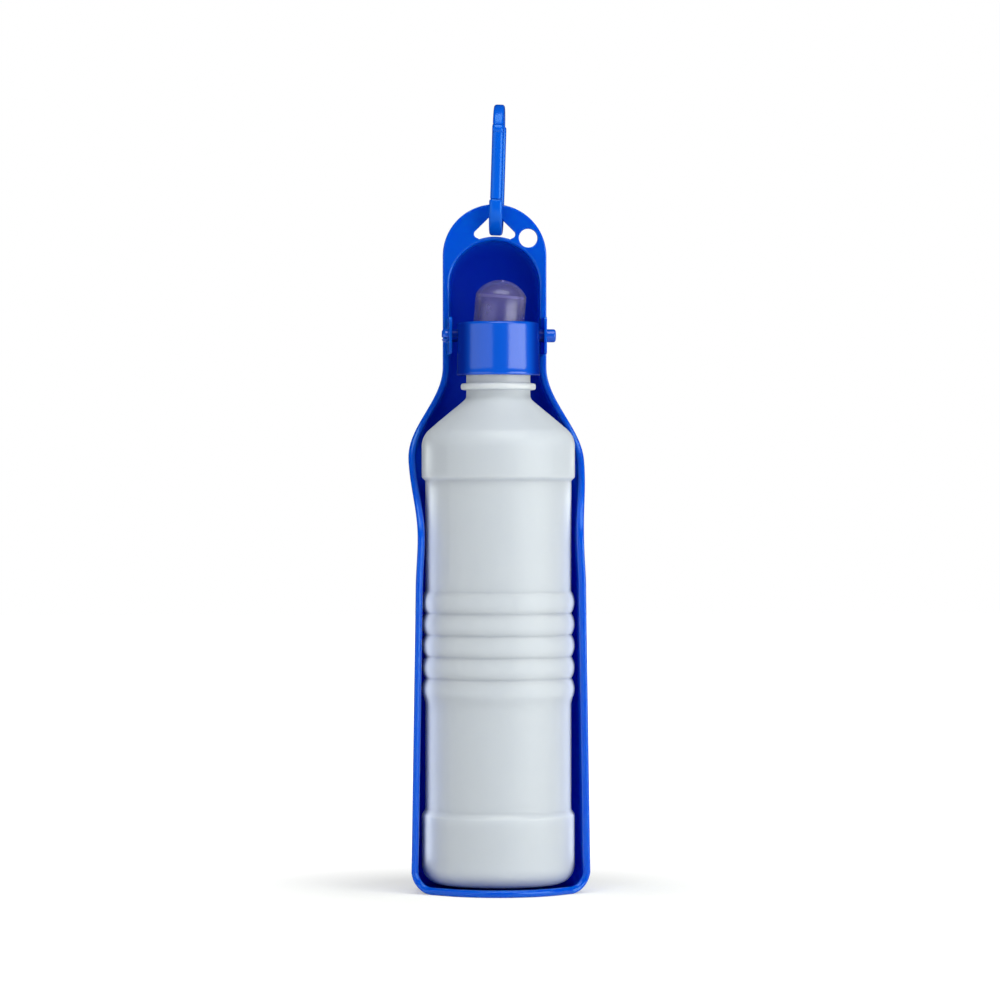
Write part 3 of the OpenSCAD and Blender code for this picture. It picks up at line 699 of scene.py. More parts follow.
def floor_rows(wall, flange, deep, bead):
    """The shell's rows round the corner, and along the floor to the middle of the lip."""
    corner = [(math.radians(90 * i / 12), 0.0) for i in range(1, 12)]
    stations = corner + [(math.pi / 2, i / 26) for i in range(27)]
    places, rows = [], []
    for a, along in stations:
        x = -(CORNER_X * (1 - along) + (FOOT_HW - flange - CORNER_X) * math.cos(a))
        z = CORNER_Z - (CORNER_Z - FLOOR_TOP) * math.sin(a)
        low = clamp(share(z, CORNER_Z, 2.0))
        y = mix(-RIM_FRONT, lip_y(x), low * low * (3 - 2 * low))
        places.append(Vector((x, y, z)))
    before = [Vector((flange - FOOT_HW, -RIM_FRONT, CORNER_Z))] + places
    for k, (a, along) in enumerate(stations):
        turn, rest = math.sin(a), math.cos(a)
        n = Vector((-rest, 0, -turn))
        if k + 1 < len(places):
            t = places[k + 1] - before[k]
            t -= n * t.dot(n)
            t.normalize()
        else:
            t = Vector((1, 0, 0))
        q = t.cross(n).normalized()
        thickness = mix(wall, FLOOR_TOP, turn)
        rounds = mix(ROLL, 1.2, turn), bead
        over = 1.3 * turn, (flange - wall) * (1 - turn)
        left = band(places[k], n, q, *over, thickness, deep, mix(deep, 1.8, turn), *rounds)
        paths = []
        for end, out, back, foot in ((left[0], 0.0, BACK_IN, FLOOR_TOP), (left[-1], wall, BACK_OUT, 0.0)):
            z = CORNER_Z - (CORNER_Z - foot) * turn
            hw = CORNER_X + (FOOT_HW - flange + out - CORNER_X) * rest
            y = back - (CORNER_Z - foot) * (1 - rest)
            if k < len(corner):
                paths.append(back_path(hw, end.y, end.z, 0.0, y, 2.0, z))
            else:
                paths.append(pull(back_path(hw, -RIM_FRONT, z, 0.0, y, 2.0, z), 1 - along, end))
        rows.append(row(left, *paths))
    return rows


def pull(path, keep, end):
    """Shrinks a floor row towards the middle of the lip; its ends stay on the band."""
    target = Vector((0, 2.4 - LIP_R, path[0][2]))
    shift = end - (target + (Vector(path[0]) - target) * keep)
    out = []
    for i, p in enumerate(path):
        t = i / (len(path) - 1)
        edge = max(0.0, 1 - 2 * min(t, 1 - t))
        side = 1 if t < 0.5 else -1
        q = target + (Vector(p) - target) * keep
        out.append(q + Vector((shift.x * side, shift.y, shift.z)) * edge**3)
    return out


def hood_meshes(deep):
    """The hood's pocket and outside, closed at the top, and the head plate."""
    pocket, outside, front_edge = [], [], []
    side = HEAD_BACK + deep + 1.0
    for k in range(HOOD_STEPS + 1):
        a = math.radians(90 * k / HOOD_STEPS)
        c, s = math.cos(a), math.sin(a)
        origin = Vector((-HOOD_IN * c, HEAD_BACK, HOOD_Z + HOOD_IN * s))
        roll = arc(HOOD_ROLL, HOOD_ROLL, HOOD_ROLL, 270, 180, EDGE_STEPS)
        edge = [origin + Vector((-c, 0, s)) * out + Vector((0, back, 0)) for out, back in roll]
        front_edge.append(edge[0])
        _, y, z = edge[-1]
        inner = back_path(HOOD_IN * c, y, z, side, hood_back(z, side, BACK_IN, HOOD_Z + HOOD_IN), 2.5, z)
        pocket.append(edge + [Vector(p) for p in inner[1:-1]] + mirrored(reversed(edge)))
        y, z = HEAD_BACK + deep - 0.4, HOOD_Z + HOOD_OUT * s
        outer = back_path(HOOD_OUT * c, y, z, side, hood_back(z, side, BACK_OUT, HOOD_Z + HOOD_OUT), 2.5, z)
        outside.append([Vector(p) for p in reversed(outer)])
    meshes = [sweep("hood", rings, closed_ring=False, cap=False) for rings in (pocket, outside)]
    return [tidy(mesh, outward=False) for mesh in meshes] + [plate_mesh(front_edge, deep)]


def plate_mesh(front_edge, deep):
    """The head plate: a front and a back face with the two holes, and the rounded edges round them."""
    rounding, hole_rounding = 0.5, 0.3

    def place(u, v, depth):
        return (u, HEAD_BACK + deep / 2 + depth, v)

    side = [HOOD_Z + (HEAD_ARC_Z - HOOD_Z) * i / 10 for i in range(10)]
    outline = [(HEAD_HW, z) for z in side] + arc(0, HEAD_ARC_Z, HEAD_HW, 0, 180, 96)
    outline += [(-HEAD_HW, z) for z in reversed(side)]
    foot_z, hole_r, corner_x, apex_z, foot_r = 263.7, 1.6, 6.8, 270.4, 19.8
    slope = math.degrees(math.atan2(apex_z - foot_z, corner_x))
    lower = math.degrees(math.acos(6.3 / foot_r))
    hole = arc(0, apex_z, hole_r, 90 + slope, 90 - slope, 10)
    hole += arc(corner_x, foot_z, hole_r, 90 - slope, -78, 12)
    hole += arc(0, HOOD_Z, foot_r, lower, 180 - lower, 16)
    hole += arc(-corner_x, foot_z, hole_r, 258, 90 + slope, 12)
    hanging_hole = arc(13.6, 262.19, 3.8, 360, 0, 48)[:-1]
    edge = rounded_rings(outline, deep, rounding, place)
    # the plate's lower ends run straight down into the flange
    for ring in edge:
        ring[0] = (ring[1][0], ring[0][1], HOOD_Z)
        ring[-1] = (ring[-2][0], ring[-1][1], HOOD_Z)
    meshes = [sweep("plate edge", edge, closed_ring=False, cap=False)]
    for loop in (hole, hanging_hole):
        meshes.append(sweep("hole edge", rounded_rings(loop, deep, hole_rounding, place), cap=False))
    pocket_front = [(p.x, p.z) for p in front_edge] + [(-p.x, p.z) for p in reversed(front_edge[:-1])]
    pocket_back = arc(0, HOOD_Z, (HOOD_IN + HOOD_OUT) / 2, 180, 0, 60)
    holes = [inset(loop, hole_rounding) for loop in (hole, hanging_hole)]
    for ring, pocket, depth, turn in ((edge[0], pocket_front, -deep / 2, 1), (edge[-1], pocket_back, deep / 2, -1)):
        rim = [(p[0], p[2]) for p in ring] + pocket
        meshes.append(filled("plate face", rim, holes, place, depth, turn))
    return tidy(joined("head plate", meshes), outward=False)


def ear_mesh(side):
    """A tab that stands forward from the flange and holds a pin."""
    thickness, inner_face, front, back, half_height, rounding = 1.1, 18.5, -0.03, 19.1, 7.4, 1.2
    low, high = PIN_Z - half_height, PIN_Z + half_height
    outline = [(back, low), (back, high)]
    outline += arc(front + rounding, high - rounding, rounding, 90, 180, 6)
    outline += arc(front + rounding, low + rounding, rounding, 180, 270, 6)
    hole_r = 2.73
    hole = arc(PIN_Y, PIN_Z, hole_r, 360, 0, 40)[:-1]
    middle = inner_face + thickness / 2
    return slab("ear", outline, [hole], thickness, 0.2, lambda u, v, d: (side * (middle + d), u, v))


def trough_meshes(s):
    """The shell with its flange and its lip, the hood, the head plate and the two ears."""
    sizes = [v / MM for v in (s.wall, s.flange, s.flange_depth, s.bead)]
    shell = tidy(sweep("trough shell", side_rows(*sizes) + floor_rows(*sizes), cap=False))
    return [shell] + hood_meshes(sizes[2]) + [ear_mesh(-1), ear_mesh(1)]


# ---------------------------------------------------------------- bottle and threads


def start_tree(name, inputs):
    """A geometry-nodes tree with a mesh, named numbers and a material as its inputs."""
    tree = bpy.data.node_groups.new(name, "GeometryNodeTree")
    tree.is_modifier = True
    face = tree.interface
    face.new_socket("Geometry", in_out="INPUT", socket_type="NodeSocketGeometry")
    for key, value in inputs.items():
        kind = "NodeSocketInt" if isinstance(value, int) else "NodeSocketFloat"
        face.new_socket(key, in_out="INPUT", socket_type=kind).default_value = value
    face.new_socket("Material", in_out="INPUT", socket_type="NodeSocketMaterial")
    face.new_socket("Geometry", in_out="OUTPUT", socket_type="NodeSocketGeometry")
    return tree, add_node(tree, "NodeGroupInput").outputs


def end_tree(tree, given, shape):
    """Ends a tree with a plain mesh that has its material."""
    real = add_node(tree, "GeometryNodeRealizeInstances", [(shape, 0)])
    dressed = add_node(tree, "GeometryNodeSetMaterial", [(real, 0), (given["Material"], "Material")])
    add_node(tree, "NodeGroupOutput", [(dressed, 0)])
    return tree


def grip_ribs_tree():
    """Geometry nodes that push a lathed wall out into a stack of round ribs."""
    tree, given = start_tree("Grip ribs", {"Count": 5, "Pitch": 0.0086, "Depth": 0.0014, "Foot": 0.0765})
    place = add_node(tree, "GeometryNodeInputPosition")
    x, y, z = add_node(tree, "ShaderNodeSeparateXYZ", [(place, 0)]).outputs
    made = {"z": z, **dict(given.items())}
    for name, operation, *sources in (
        ("over", "SUBTRACT", "z", "Foot"),
        ("ribs", "DIVIDE", "over", "Pitch"),
        ("above", "GREATER_THAN", "ribs", 0.0),
        ("below", "LESS_THAN", "ribs", "Count"),
        ("reach", "MULTIPLY", "above", "below"),
        ("turn", "MULTIPLY", "ribs", math.pi),
        ("sine", "SINE", "turn"),
        ("wave", "ABSOLUTE", "sine"),
        ("crown", "POWER", "wave", 0.72),
        ("kept", "MULTIPLY", "crown", "reach"),
        ("push", "MULTIPLY", "kept", "Depth"),
    ):
        inputs = [(made.get(source, source), i) for i, source in enumerate(sources)]
        made[name] = add_node(tree, "ShaderNodeMath", inputs, operation=operation)
    flat = add_node(tree, "ShaderNodeCombineXYZ", [(x, 0), (y, 1)])
    outward = add_node(tree, "ShaderNodeVectorMath", [(flat, 0)], operation="NORMALIZE")
    offset = add_node(tree, "ShaderNodeVectorMath", [(outward, 0), (made["push"], "Scale")], operation="SCALE")
    moved = add_node(tree, "GeometryNodeSetPosition", [(given["Geometry"], "Geometry"), (offset, "Offset")])
    return end_tree(tree, given, moved)


def screw_thread_tree():
    """Geometry nodes that wind a ridge round a right-handed helix."""
    sizes = {"Radius": 0.0128, "Ridge": 0.0009, "Pitch": 0.0032, "Turns": 1.5, "Foot": 0.2165}
    tree, given = start_tree("Screw thread", sizes)
    rise = add_node(tree, "ShaderNodeMath", [(given["Pitch"], 0), (given["Turns"], 1)], operation="MULTIPLY")
    helix = add_node(
        tree,
        "GeometryNodeCurveSpiral",
        [
            (given["Turns"], "Rotations"),
            (given["Radius"], "Start Radius"),
            (given["Radius"], "End Radius"),
            (rise, "Height"),
        ],
        Resolution=96,
        Reverse=True,
    )
    ridge = add_node(tree, "GeometryNodeCurvePrimitiveCircle", [(given["Ridge"], "Radius")], Resolution=12)
    wound = add_node(tree, "GeometryNodeCurveToMesh", [(helix, "Curve"), (ridge, "Profile Curve")], Fill_Caps=True)
    lift = add_node(tree, "ShaderNodeCombineXYZ", [(given["Foot"], 2)])
    placed = add_node(tree, "GeometryNodeTransform", [(wound, "Geometry"), (lift, "Translation")])
    both = add_node(tree, "GeometryNodeJoinGeometry", [(placed, 0), (given["Geometry"], 0)])
    return end_tree(tree, given, both)


def run_tree(mesh, tree, values):
    """Puts a mesh through a geometry-nodes tree and gives the plain mesh that comes out."""
    holder = new_object(mesh.name, mesh)
    change = holder.modifiers.new("Nodes", "NODES")
    change.node_group = tree
    for item in tree.interface.items_tree:
        if item.in_out == "INPUT" and item.name in values:
            change[item.identifier] = values[item.name]
    graph = bpy.context.evaluated_depsgraph_get()
    made = bpy.data.meshes.new_from_object(holder.evaluated_get(graph))
    bpy.data.objects.remove(holder)
    return made


def threaded(mesh, radius, ridge, pitch, foot, material):
    """A mesh with a turn and a half of thread wound onto it."""
    sizes = {"Radius": radius, "Ridge": ridge, "Pitch": pitch, "Turns": 1.5, "Foot": foot, "Material": material}
    return run_tree(mesh, screw_thread_tree(), sizes)


def soft_step(r0, r1, z0, z1, steps):
    """A smooth step of the wall from one radius to another."""
    return [(ease(r0, r1, i / steps), mix(z0, z1, i / steps)) for i in range(steps + 1)]


def bottle_outline(s):
    """The bottle's outside without its ribs, from the middle of the base to the neck's rim."""
    band_r, panel_r = s.band_radius / MM, s.panel_radius / MM
    heel, base, neck, bead = 7.6, BASE_Z, 12.8, 14.1
    points = [(0.0, base + 3.2), (6.0, base + 3.0), (12.9, base + 2.3)]
    points += [(17.5, base + 0.9), (19.6, base + 0.25), (21.4, base)]
    points += arc(band_r - heel, base + heel, heel, -90, 0, 16)
    points += [(band_r, base + 12 + 3 * i) for i in range(5)]
    z = base + 30.2
    points += soft_step(band_r, panel_r, base + 27.0, z, 8)
    # the panels, with close rows where the ribs come
    for end, step in ((76.0, 2.2), (121.0, 0.32), (161.5, 2.2)):
        while z < end:
            z += step
            points.append((panel_r, z))
    points += soft_step(panel_r, band_r, 163.6, 165.6, 6)
    points += [(band_r, 168.0), (band_r, 172.0), (band_r, 175.5)]
    points += arc(band_r - 9, 177.6, 9, 0, 50.6, 12)
    points += [(24.2, 187.3), (20.8, 190.1), (17.4, 192.9), (15.2, 194.7)]
    points += [(14.0, 195.75), (13.2, 196.55), (12.85, 197.4), (neck, 198.6)]
    points += [(neck, BEAD_Z - 0.2), (13.2, BEAD_Z)]
    points += arc(bead, BEAD_Z + 0.9, 0.9, -90, 0, 4)
    points += arc(bead, BEAD_Z + 1.7, 0.9, 0, 90, 4)
    points += [(13.2, BEAD_Z + 2.6), (neck, BEAD_Z + 2.9), (neck, NECK_TOP_Z - 0.4), (12.5, NECK_TOP_Z)]
    return points


def parted(mesh):
    """Raises the faint line that the two halves of the mould leave, on two opposite sides."""
    for v in mesh.vertices:
        radius = math.hypot(v.co.x, v.co.y)
        if radius < 12 * MM:
            continue
        turn = (math.degrees(math.atan2(v.co.y, v.co.x)) - PARTING) % 180
        if min(turn, 180 - turn) < 0.6:
            v.co.x *= 1 + 0.13 * MM / radius
            v.co.y *= 1 + 0.13 * MM / radius
    return mesh


# ---------------------------------------------------------------- clip


def clip_place(u, v, d):
    """A point of the clip's own frame, loop in (u, v), to where the clip hangs."""
    lean, turn = math.radians(1.7), math.radians(-6.8)
    x, y, z = d, u, v
    x, z = x * math.cos(lean) + z * math.sin(lean), -x * math.sin(lean) + z * math.cos(lean)
    x, y = x * math.cos(turn) - y * math.sin(turn), x * math.sin(turn) + y * math.cos(turn)
    return (STRIP[0] + x, STRIP[1] + y, STRIP[2] + z)


def on_bar(section, spot):
    """A section of the clip's bar at a spot, which gives (u, v) for how far out a point lies."""
    return [clip_place(*spot(a), d) for a, d in section]


# ---------------------------------------------------------------- operators


class OBJECT_OT_trough(bpy.types.Operator):
    """Build the trough with its flange, hood, head plate and ears."""

    bl_idname = "travel_bottle.trough"
    bl_label = "Trough"

    def execute(self, context):
        s = context.scene.travel_trough
        blue = polypropylene("Moulded polypropylene, blue", list(s.colour))
        matt_pocket_painted_shade(blue)
        thin_wall_glow(blue)
        meshes = trough_meshes(s)
        # nothing of the lip's rounding goes below the face that it stands on
        for v in itertools.chain(*(mesh.vertices for mesh in meshes)):
            v.co.z = max(v.co.z, 0.0)
        piece("trough_moulding", meshes, blue, "trough_body", ["trough", "head_plate", "hanging_lug"])
        return {"FINISHED"}


class OBJECT_OT_bottle(bpy.types.Operator):
    """Build the blow-moulded bottle with its grip ribs and its thread."""

    bl_idname = "travel_bottle.bottle"
    bl_label = "Bottle"

    def execute(self, context):
        s = context.scene.travel_bottle
        milky = blown_polyethylene("Blow-moulded low-density polyethylene", list(s.colour))
        outside = bottle_outline(s)
        inside = []
        for r, z in outside:
            if z < NECK_FOOT_Z:
                inside.append((max(0.0, r - BOTTLE_WALL), z + (BOTTLE_WALL if z < 11 else 0.0)))
        mouth = (11.6, NECK_TOP_Z)
        inside += [(11.4, 198.8), (11.4, NECK_TOP_Z - 0.3), mouth]
        sizes = {"Count": s.rib_count, "Pitch": s.rib_pitch, "Depth": s.rib_depth, "Foot": s.rib_foot}
        sizes["Material"] = milky
        skin = run_tree(parted(lathe("bottle skin", outside + [mouth], 160)), grip_ribs_tree(), sizes)
        lining = run_tree(lathe("bottle lining", inside[::-1], 160), grip_ribs_tree(), sizes)
        skin = threaded(skin, 0.0127, 0.0007, context.scene.travel_cap.thread_pitch, 0.2165, milky)
        piece("bottle_skin", [skin], milky, "bottle_body", ["bottle"])
        piece("bottle_lining", [lining], milky, "bottle_body")
        return {"FINISHED"}


class OBJECT_OT_cap(bpy.types.Operator):
    """Build the screw cap with its two pins, and dress the sealing ring."""

    bl_idname = "travel_bottle.cap"
    bl_label = "Screw cap"

    def execute(self, context):
        s = context.scene.travel_cap
        top, rim, pin = s.top_radius / MM, s.rim_radius / MM, s.pin_radius / MM
        bore, hole, skirt = 14.05, 10.55, rim - 0.16
        blue = polypropylene("Moulded polypropylene, blue cap", list(s.colour))
        shade_sides(blue)
        outline = [(bore, CAP_Z + 0.3), (14.35, CAP_Z)]
        outline += arc(rim - 0.5, CAP_Z + 0.5, 0.5, -90, 0, 5) + [(rim, CAP_Z + 1.3), (skirt, CAP_Z + 1.7)]
        for t in (0.1, 0.3, 0.5, 0.7, 0.9):
            outline.append((mix(skirt, top, t), mix(CAP_Z + 1.7, CAP_TOP_Z - 1.2, t)))
        outline += arc(top - 1.1, CAP_TOP_Z - 1.1, 1.1, 0, 90, 7)
        outline += [(13.0, CAP_TOP_Z), (11.2, CAP_TOP_Z)]
        outline += arc(hole + 0.3, CAP_TOP_Z - 0.3, 0.3, 90, 180, 3)
        outline += [(hole, CEILING_Z), (bore, CEILING_Z), (bore, 218.0), (bore, 210.0), outline[0]]
        shell = threaded(lathe("cap", outline, 144), 0.01415, 0.0008, s.thread_pitch, 0.2149, blue)
        meshes = [shell, self.plain_pin(pin), self.split_pin(pin)]
        piece("cap_moulding", meshes, blue, "cap_body", ["screw_cap"])
        redress("sealing_ring", closed_cell_foam("Closed-cell polyethylene foam", linear("#E9E9E5")))
        return {"FINISHED"}

    def plain_pin(self, pin):
        """The right pin: a stub with a rounded end."""
        r, end = 0.9, 23.4
        outline = [(pin, 14.5), (pin, 16.0), (pin, end - r)] + arc(pin - r, end - r, r, 0, 90, 6)
        outline += [(pin * 0.4, end + 0.02), (0.0, end + 0.02)]
        mesh = lathe("plain pin", outline, 48)
        for v in mesh.vertices:
            x, y, z = v.co
            v.co = (z, y + PIN_Y * MM, -x + PIN_Z * MM)
        return mesh

    def split_pin(self, pin):
        """The left pin: two halves with a slot between them, each with a small barb outside the ear."""
        slot_z, half_slot = -1.1, 0.4
        barb = ((14.5, 0.0), (19.6, 0.0), (20.0, 0.06), (20.4, 0.1), (21.2, 0.02), (21.9, -0.3), (22.3, -0.75))
        meshes = []
        for upper, steps in ((True, 20), (False, 12)):
            rings = []
            for x, grow in barb:
                r = pin + grow
                a = math.asin((slot_z + (half_slot if upper else -half_slot)) / r)
                start, end = (a, math.pi - a) if upper else (math.pi - a, 2 * math.pi + a)
                span = [mix(start, end, i / steps) for i in range(steps + 1)]
                rings.append([(-x, PIN_Y + r * math.cos(b), PIN_Z + r * math.sin(b)) for b in span])
            meshes.append(tidy(sweep("split pin", rings)))
        return joined("split pin", meshes)


class OBJECT_OT_nozzle(bpy.types.Operator):
    """Build the soft nozzle and dress the slit valve."""

    bl_idname = "travel_bottle.nozzle"
    bl_label = "Nozzle"

    def execute(self, context):
        s = context.scene.travel_nozzle
        clear = clear_elastomer("Clear thermoplastic elastomer", list(s.colour))
        r, wall, foot_bore, valve_z = s.radius / MM, 1.2, 8.1, 12.18
        top = CAP_TOP_Z + s.height / MM - NOZZLE_FOOT_Z
        dome, bore = r * 1.12, r - wall
        middle = top - dome
        outline = [(foot_bore, 0.0), (r + 1.9, 0.0), (r + 1.9, 1.2), (r, 1.25), (r, 4.0), (r, 8.0)]
        outline += arc(0, middle, dome, math.degrees(math.acos(r / dome)), 83, 20)
        outlet = outline[-1][0]
        outline.append((outlet, top - 1.25))
        inner = arc(0, middle, dome - wall, math.degrees(math.acos(bore / (dome - wall))), 81, 16)
        outline += [p for p in reversed(inner) if p[0] > outlet]
        outline += [(bore, valve_z + 1.1), (bore, valve_z), (bore - 1.0, valve_z), (bore - 1.0, 6.0)]
        outline += [(foot_bore, 1.0), (foot_bore, 0.0)]
        mesh = lathe("nozzle", outline, 96)
        lean = s.lean
        for v in mesh.vertices:
            x, y, z = v.co
            # the flange under the cap's top stays level
            if z > 1.3 * MM:
                x, z = x * math.cos(lean) + z * math.sin(lean), -x * math.sin(lean) + z * math.cos(lean)
            v.co = (x, y, z + NOZZLE_FOOT_Z * MM)
        piece("nozzle_moulding", [mesh], clear, "cap_body", ["nozzle"])
        redress("slit_valve", silicone("Moulded silicone", linear("#D9DCE6")))
        return {"FINISHED"}


class OBJECT_OT_clip(bpy.types.Operator):
    """Build the clip's frame and gate, and dress the gate's pin."""

    bl_idname = "travel_bottle.clip"
    bl_label = "Clip"

    def execute(self, context):
        s = context.scene.travel_clip
        blue = acetal("Moulded acetal, blue", list(s.colour))
        spine, bow, gate, r = (v / MM for v in (s.spine_width, s.bow_width, s.gate_width, s.rounding))
        middle, width = (CLIP_R + CLIP_IN) / 2, CLIP_R - CLIP_IN
        frame_parts = self.lower_frame(middle, width, spine, r) + self.upper_frame(middle, width, bow, r)
        piece("clip_frame_moulding", frame_parts, blue, "clip_body", ["clip_frame"])
        gate_parts = self.gate(middle, width, gate, r)
        piece("clip_gate_moulding", gate_parts, blue, "gate_body", ["clip_gate"])
        redress("gate_pin", drawn_steel("Drawn stainless wire", linear("#C4C6C8")))
        return {"FINISHED"}

    def lower_frame(self, middle, width, spine, r):
        """The nose, the lower bend and the spine."""
        top = BOW_Z + 2.4
        full = rounded_section(width, spine, r)
        ends = [rounded_section(width - 2 * e, spine - 2 * e, r - e * 0.8) for e in (0.5, 0.22, 0.06)]
        lifts = (0.0, 0.12, 0.4)
        rings = [on_bar(e, lambda a, k=k: (-middle - a, NOSE_Z - k)) for e, k in zip(ends, lifts)]
        rings += [on_bar(full, lambda a, k=k: (-middle - a, k)) for k in (NOSE_Z - 0.9, 1.0)]
        for i in range(41):
            turn = math.pi * (1 + i / 40)
            rings.append(on_bar(full, lambda a, t=turn: ((middle + a) * math.cos(t), (middle + a) * math.sin(t))))
        rings += [on_bar(full, lambda a, k=k: (middle + a, k)) for k in (4.0, 12.0, 20.0, 28.0, top - 0.9)]
        rings += [on_bar(e, lambda a, k=k: (middle + a, top - k)) for e, k in zip(reversed(ends), reversed(lifts))]
        return [tidy(sweep("clip lower", rings))]

    def upper_frame(self, middle, width, bow, r):
        """The upper bend, which ends in a hollow round the gate's knuckle, and the tongue that holds the pin."""
        reach, tongue_r = KNUCKLE + 0.15, 1.38
        slim = rounded_section(width, bow, r * 0.95)

        def on_bow(a, t):
            far = middle + a
            turn = t * (math.pi - math.acos((far**2 + BAR_Y**2 - reach**2) / (2 * far * BAR_Y)))
            return (far * math.cos(turn), BOW_Z + far * math.sin(turn))

        rings = [on_bar(slim, lambda a: (middle + a, BOW_Z - 2.0))]
        rings += [on_bar(slim, lambda a, t=k / 40: on_bow(a, t)) for k in range(41)]
        tongue = arc(-BAR_Y, BOW_Z, tongue_r, 190, 350, 12)
        tongue += [(tongue_r - BAR_Y, BOW_Z + 3.4), (-BAR_Y - 0.6, BOW_Z + 3.2), (-BAR_Y - tongue_r, BOW_Z + 1.2)]
        return [tidy(sweep("clip bow", rings)), slab("clip tongue", tongue, [], 1.8, 0.1, clip_place)]

    def gate(self, middle, width, gate, r):
        """The gate's bar, its knuckle and the hook that catches in the nose."""
        foot = NOSE_Z + 0.15
        section = rounded_section(width, gate, r * 1.25)
        rings = [on_bar(rounded_section(width - 0.5, gate - 0.5, r), lambda a: (-middle - a, foot))]
        rings += [on_bar(section, lambda a, k=k: (-middle - a, k)) for k in (foot + 0.25, 12.0, 20.0, BOW_Z)]
        knuckle = arc(-BAR_Y, BOW_Z, KNUCKLE, 0, 360, 40)[:-1]
        low, high, near, far = NOSE_Z - 1.4, NOSE_Z + 1.5, 1.4 - CLIP_R, -CLIP_IN - 0.3
        hook = [(near, high), (near, low), (far, low), (far, high)]
        return [
            tidy(sweep("clip gate", rings)),
            slab("knuckle", knuckle, [], gate, r, clip_place),
            slab("gate hook", hook, [], 1.8, 0.15, clip_place),
        ]


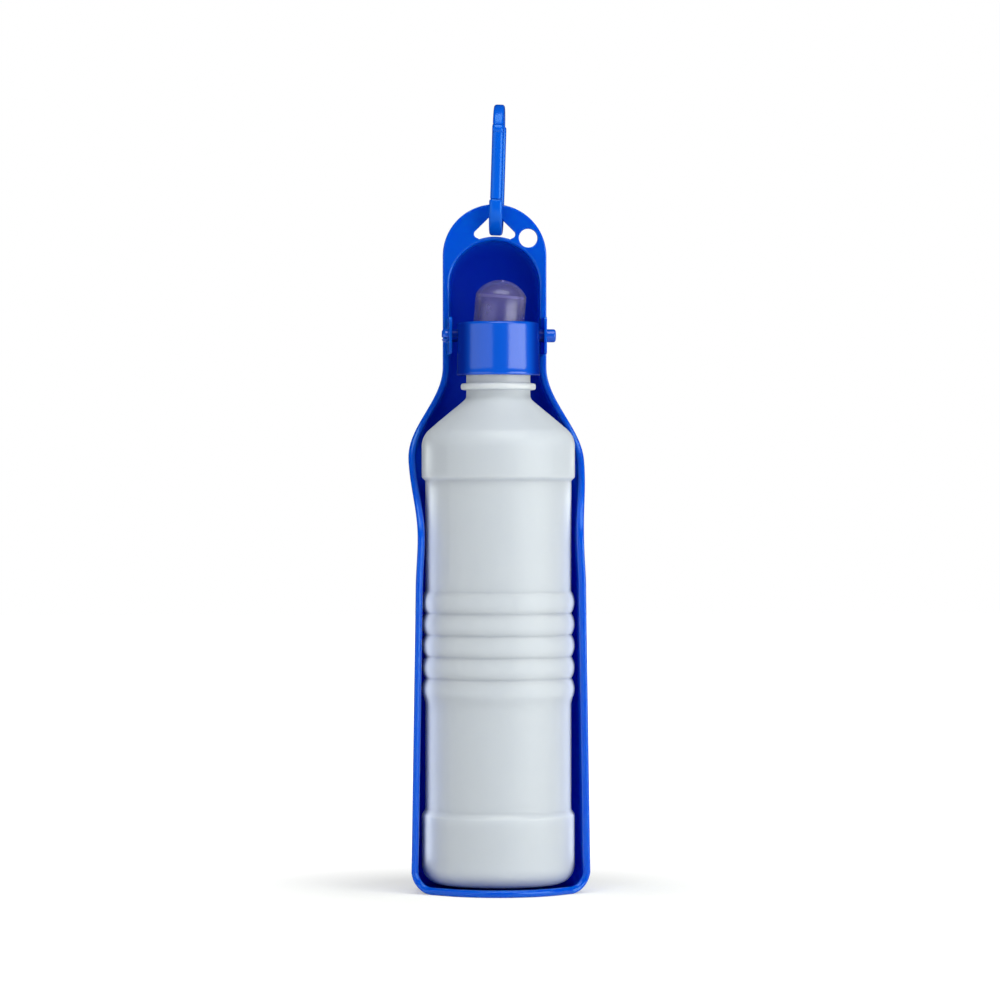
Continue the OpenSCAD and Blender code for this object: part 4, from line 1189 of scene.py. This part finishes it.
class OBJECT_OT_stage(bpy.types.Operator):
    """Lay the floor, hang the lamps and set up the camera."""

    bl_idname = "travel_bottle.stage"
    bl_label = "Stage"

    def execute(self, context):
        s, scene = context.scene.travel_stage, context.scene
        scene.view_settings.view_transform = "Standard"
        self.floor()
        self.world(scene)
        far, up, tall = 1.2, 0.26, 0.52
        for name, degrees, wide, watts in (("Key", 51, 1.2, s.key_power), ("Fill", -55, 1.65, s.fill_power)):
            a = math.radians(degrees)
            place = (far * math.sin(a), -far * math.cos(a), up)
            lamp(name + " softbox", place, (math.pi / 2, 0, a), (wide, tall), watts)
        lamp("Overhead softbox", (0.1, -0.78, 1.45), (math.radians(31), 0, math.radians(7)), (1.4, 1.0), s.top_power)
        # strips tucked behind the flange light the milky bottle's sides, as light within it would
        spans = ((31.0, 12, 110, 0.6), (29.9, 110, 162, 0.26), (31.3, 166, 178, 0.04))
        for side, (x, low, high, part) in itertools.product((-1, 1), spans):
            place = (side * x * MM, -11 * MM, (low + high) / 2 * MM)
            size = ((high - low) * MM, 6 * MM)
            strip = lamp("Strip", place, (0, side * math.pi / 2, 0), size, s.strip_power * part)
            strip.visible_camera = strip.visible_glossy = strip.visible_transmission = False
        camera = new_object("Camera", bpy.data.cameras.new("Camera"))
        d, t = s.camera_distance, s.camera_turn
        camera.location = (-d * math.sin(t), -d * math.cos(t), s.camera_height)
        camera.rotation_euler = (math.pi / 2, 0, -t)
        camera.data.sensor_width = 36
        camera.data.lens = 151.2
        camera.data.shift_x = 0.0017
        scene.camera = camera
        return {"FINISHED"}

    def floor(self):
        """Pale paper that takes a soft shadow and fades to plain white further off."""
        mesh = bpy.data.meshes.new("Floor")
        mesh.from_pydata([(-4, -4, 0), (4, -4, 0), (4, 4, 0), (-4, 4, 0)], [], [(0, 1, 2, 3)])
        floor = new_object("Floor", mesh)
        made = bpy.data.materials.new("Pale paper floor")
        tree = cleared_tree(made)
        path = add_node(tree, "ShaderNodeLightPath")
        place = add_node(tree, "ShaderNodeTexCoord")
        far = add_node(tree, "ShaderNodeVectorMath", [(place.outputs["Object"], 0)], operation="LENGTH")
        # the camera sees the paper's shade near the object, and plain white further off
        span = {"From_Min": 0.06, "From_Max": 0.17, "To_Min": 0.33, "To_Max": 1.0}
        plain = add_node(tree, "ShaderNodeMapRange", [(far.outputs["Value"], "Value")], **span)
        camera_ray = path.outputs["Is Camera Ray"]
        seen = add_node(tree, "ShaderNodeMath", [(camera_ray, 0), (plain, 1)], operation="MULTIPLY")
        paper = add_node(tree, "ShaderNodeBsdfDiffuse", Color=linear("#F4F4F4"))
        white = add_node(tree, "ShaderNodeEmission", Color=(1, 1, 1, 1), Strength=1.25)
        shaders = [(seen, 0), (paper, 1), (white, 2)]
        both = add_node(tree, "ShaderNodeMixShader", shaders)
        add_node(tree, "ShaderNodeOutputMaterial", [(both, 0)])
        mesh.materials.append(made)

    def world(self, scene):
        """White to the camera, faint to the plastic's gloss, and a soft fill for the rest."""
        world = bpy.data.worlds.new("White surround")
        scene.world = world
        tree = cleared_tree(world)
        path = add_node(tree, "ShaderNodeLightPath").outputs
        fill, faint, white = (
            add_node(tree, "ShaderNodeBackground", Color=(1, 1, 1, 1), Strength=strength)
            for strength in (0.3, 0.02, 1.0)
        )
        gloss = add_node(tree, "ShaderNodeMixShader", [(path["Is Glossy Ray"], 0), (fill, 1), (faint, 2)])
        both = add_node(tree, "ShaderNodeMixShader", [(path["Is Camera Ray"], 0), (gloss, 1), (white, 2)])
        add_node(tree, "ShaderNodeOutputWorld", [(both, 0)])


def lamp(name, place, turn, size, watts):
    """A softbox that shines along its own -Z, with a faintly yellow-green light."""
    light = bpy.data.lights.new(name, "AREA")
    light.shape = "RECTANGLE"
    light.size, light.size_y = size
    light.energy = watts
    light.color = (0.97, 1.0, 0.92)
    made = new_object(name, light)
    made.location = place
    made.rotation_euler = turn
    return made


class VIEW3D_PT_travel_bottle(bpy.types.Panel):
    """The panel that lists the pieces."""

    bl_label = "Travel bottle"
    bl_space_type = "VIEW_3D"
    bl_region_type = "UI"
    bl_category = "Travel bottle"

    def draw(self, context):
        for operator in OPERATORS:
            self.layout.operator(operator.bl_idname)


SETTINGS = {
    "travel_trough": TroughSettings,
    "travel_bottle": BottleSettings,
    "travel_cap": CapSettings,
    "travel_nozzle": NozzleSettings,
    "travel_clip": ClipSettings,
    "travel_stage": StageSettings,
}
OPERATORS = [OBJECT_OT_stage, OBJECT_OT_trough, OBJECT_OT_bottle, OBJECT_OT_cap, OBJECT_OT_nozzle, OBJECT_OT_clip]


def register():
    for settings in SETTINGS.values():
        bpy.utils.register_class(settings)
    for name, settings in SETTINGS.items():
        setattr(bpy.types.Scene, name, bpy.props.PointerProperty(type=settings))
    for made in OPERATORS + [VIEW3D_PT_travel_bottle]:
        bpy.utils.register_class(made)


def unregister():
    for made in reversed(OPERATORS + [VIEW3D_PT_travel_bottle]):
        bpy.utils.unregister_class(made)
    for name in SETTINGS:
        delattr(bpy.types.Scene, name)
    for settings in SETTINGS.values():
        bpy.utils.unregister_class(settings)


def main():
    register()
    for operator in OPERATORS:
        group, name = operator.bl_idname.split(".")
        getattr(getattr(bpy.ops, group), name)()


if __name__ == "__main__":
    main()
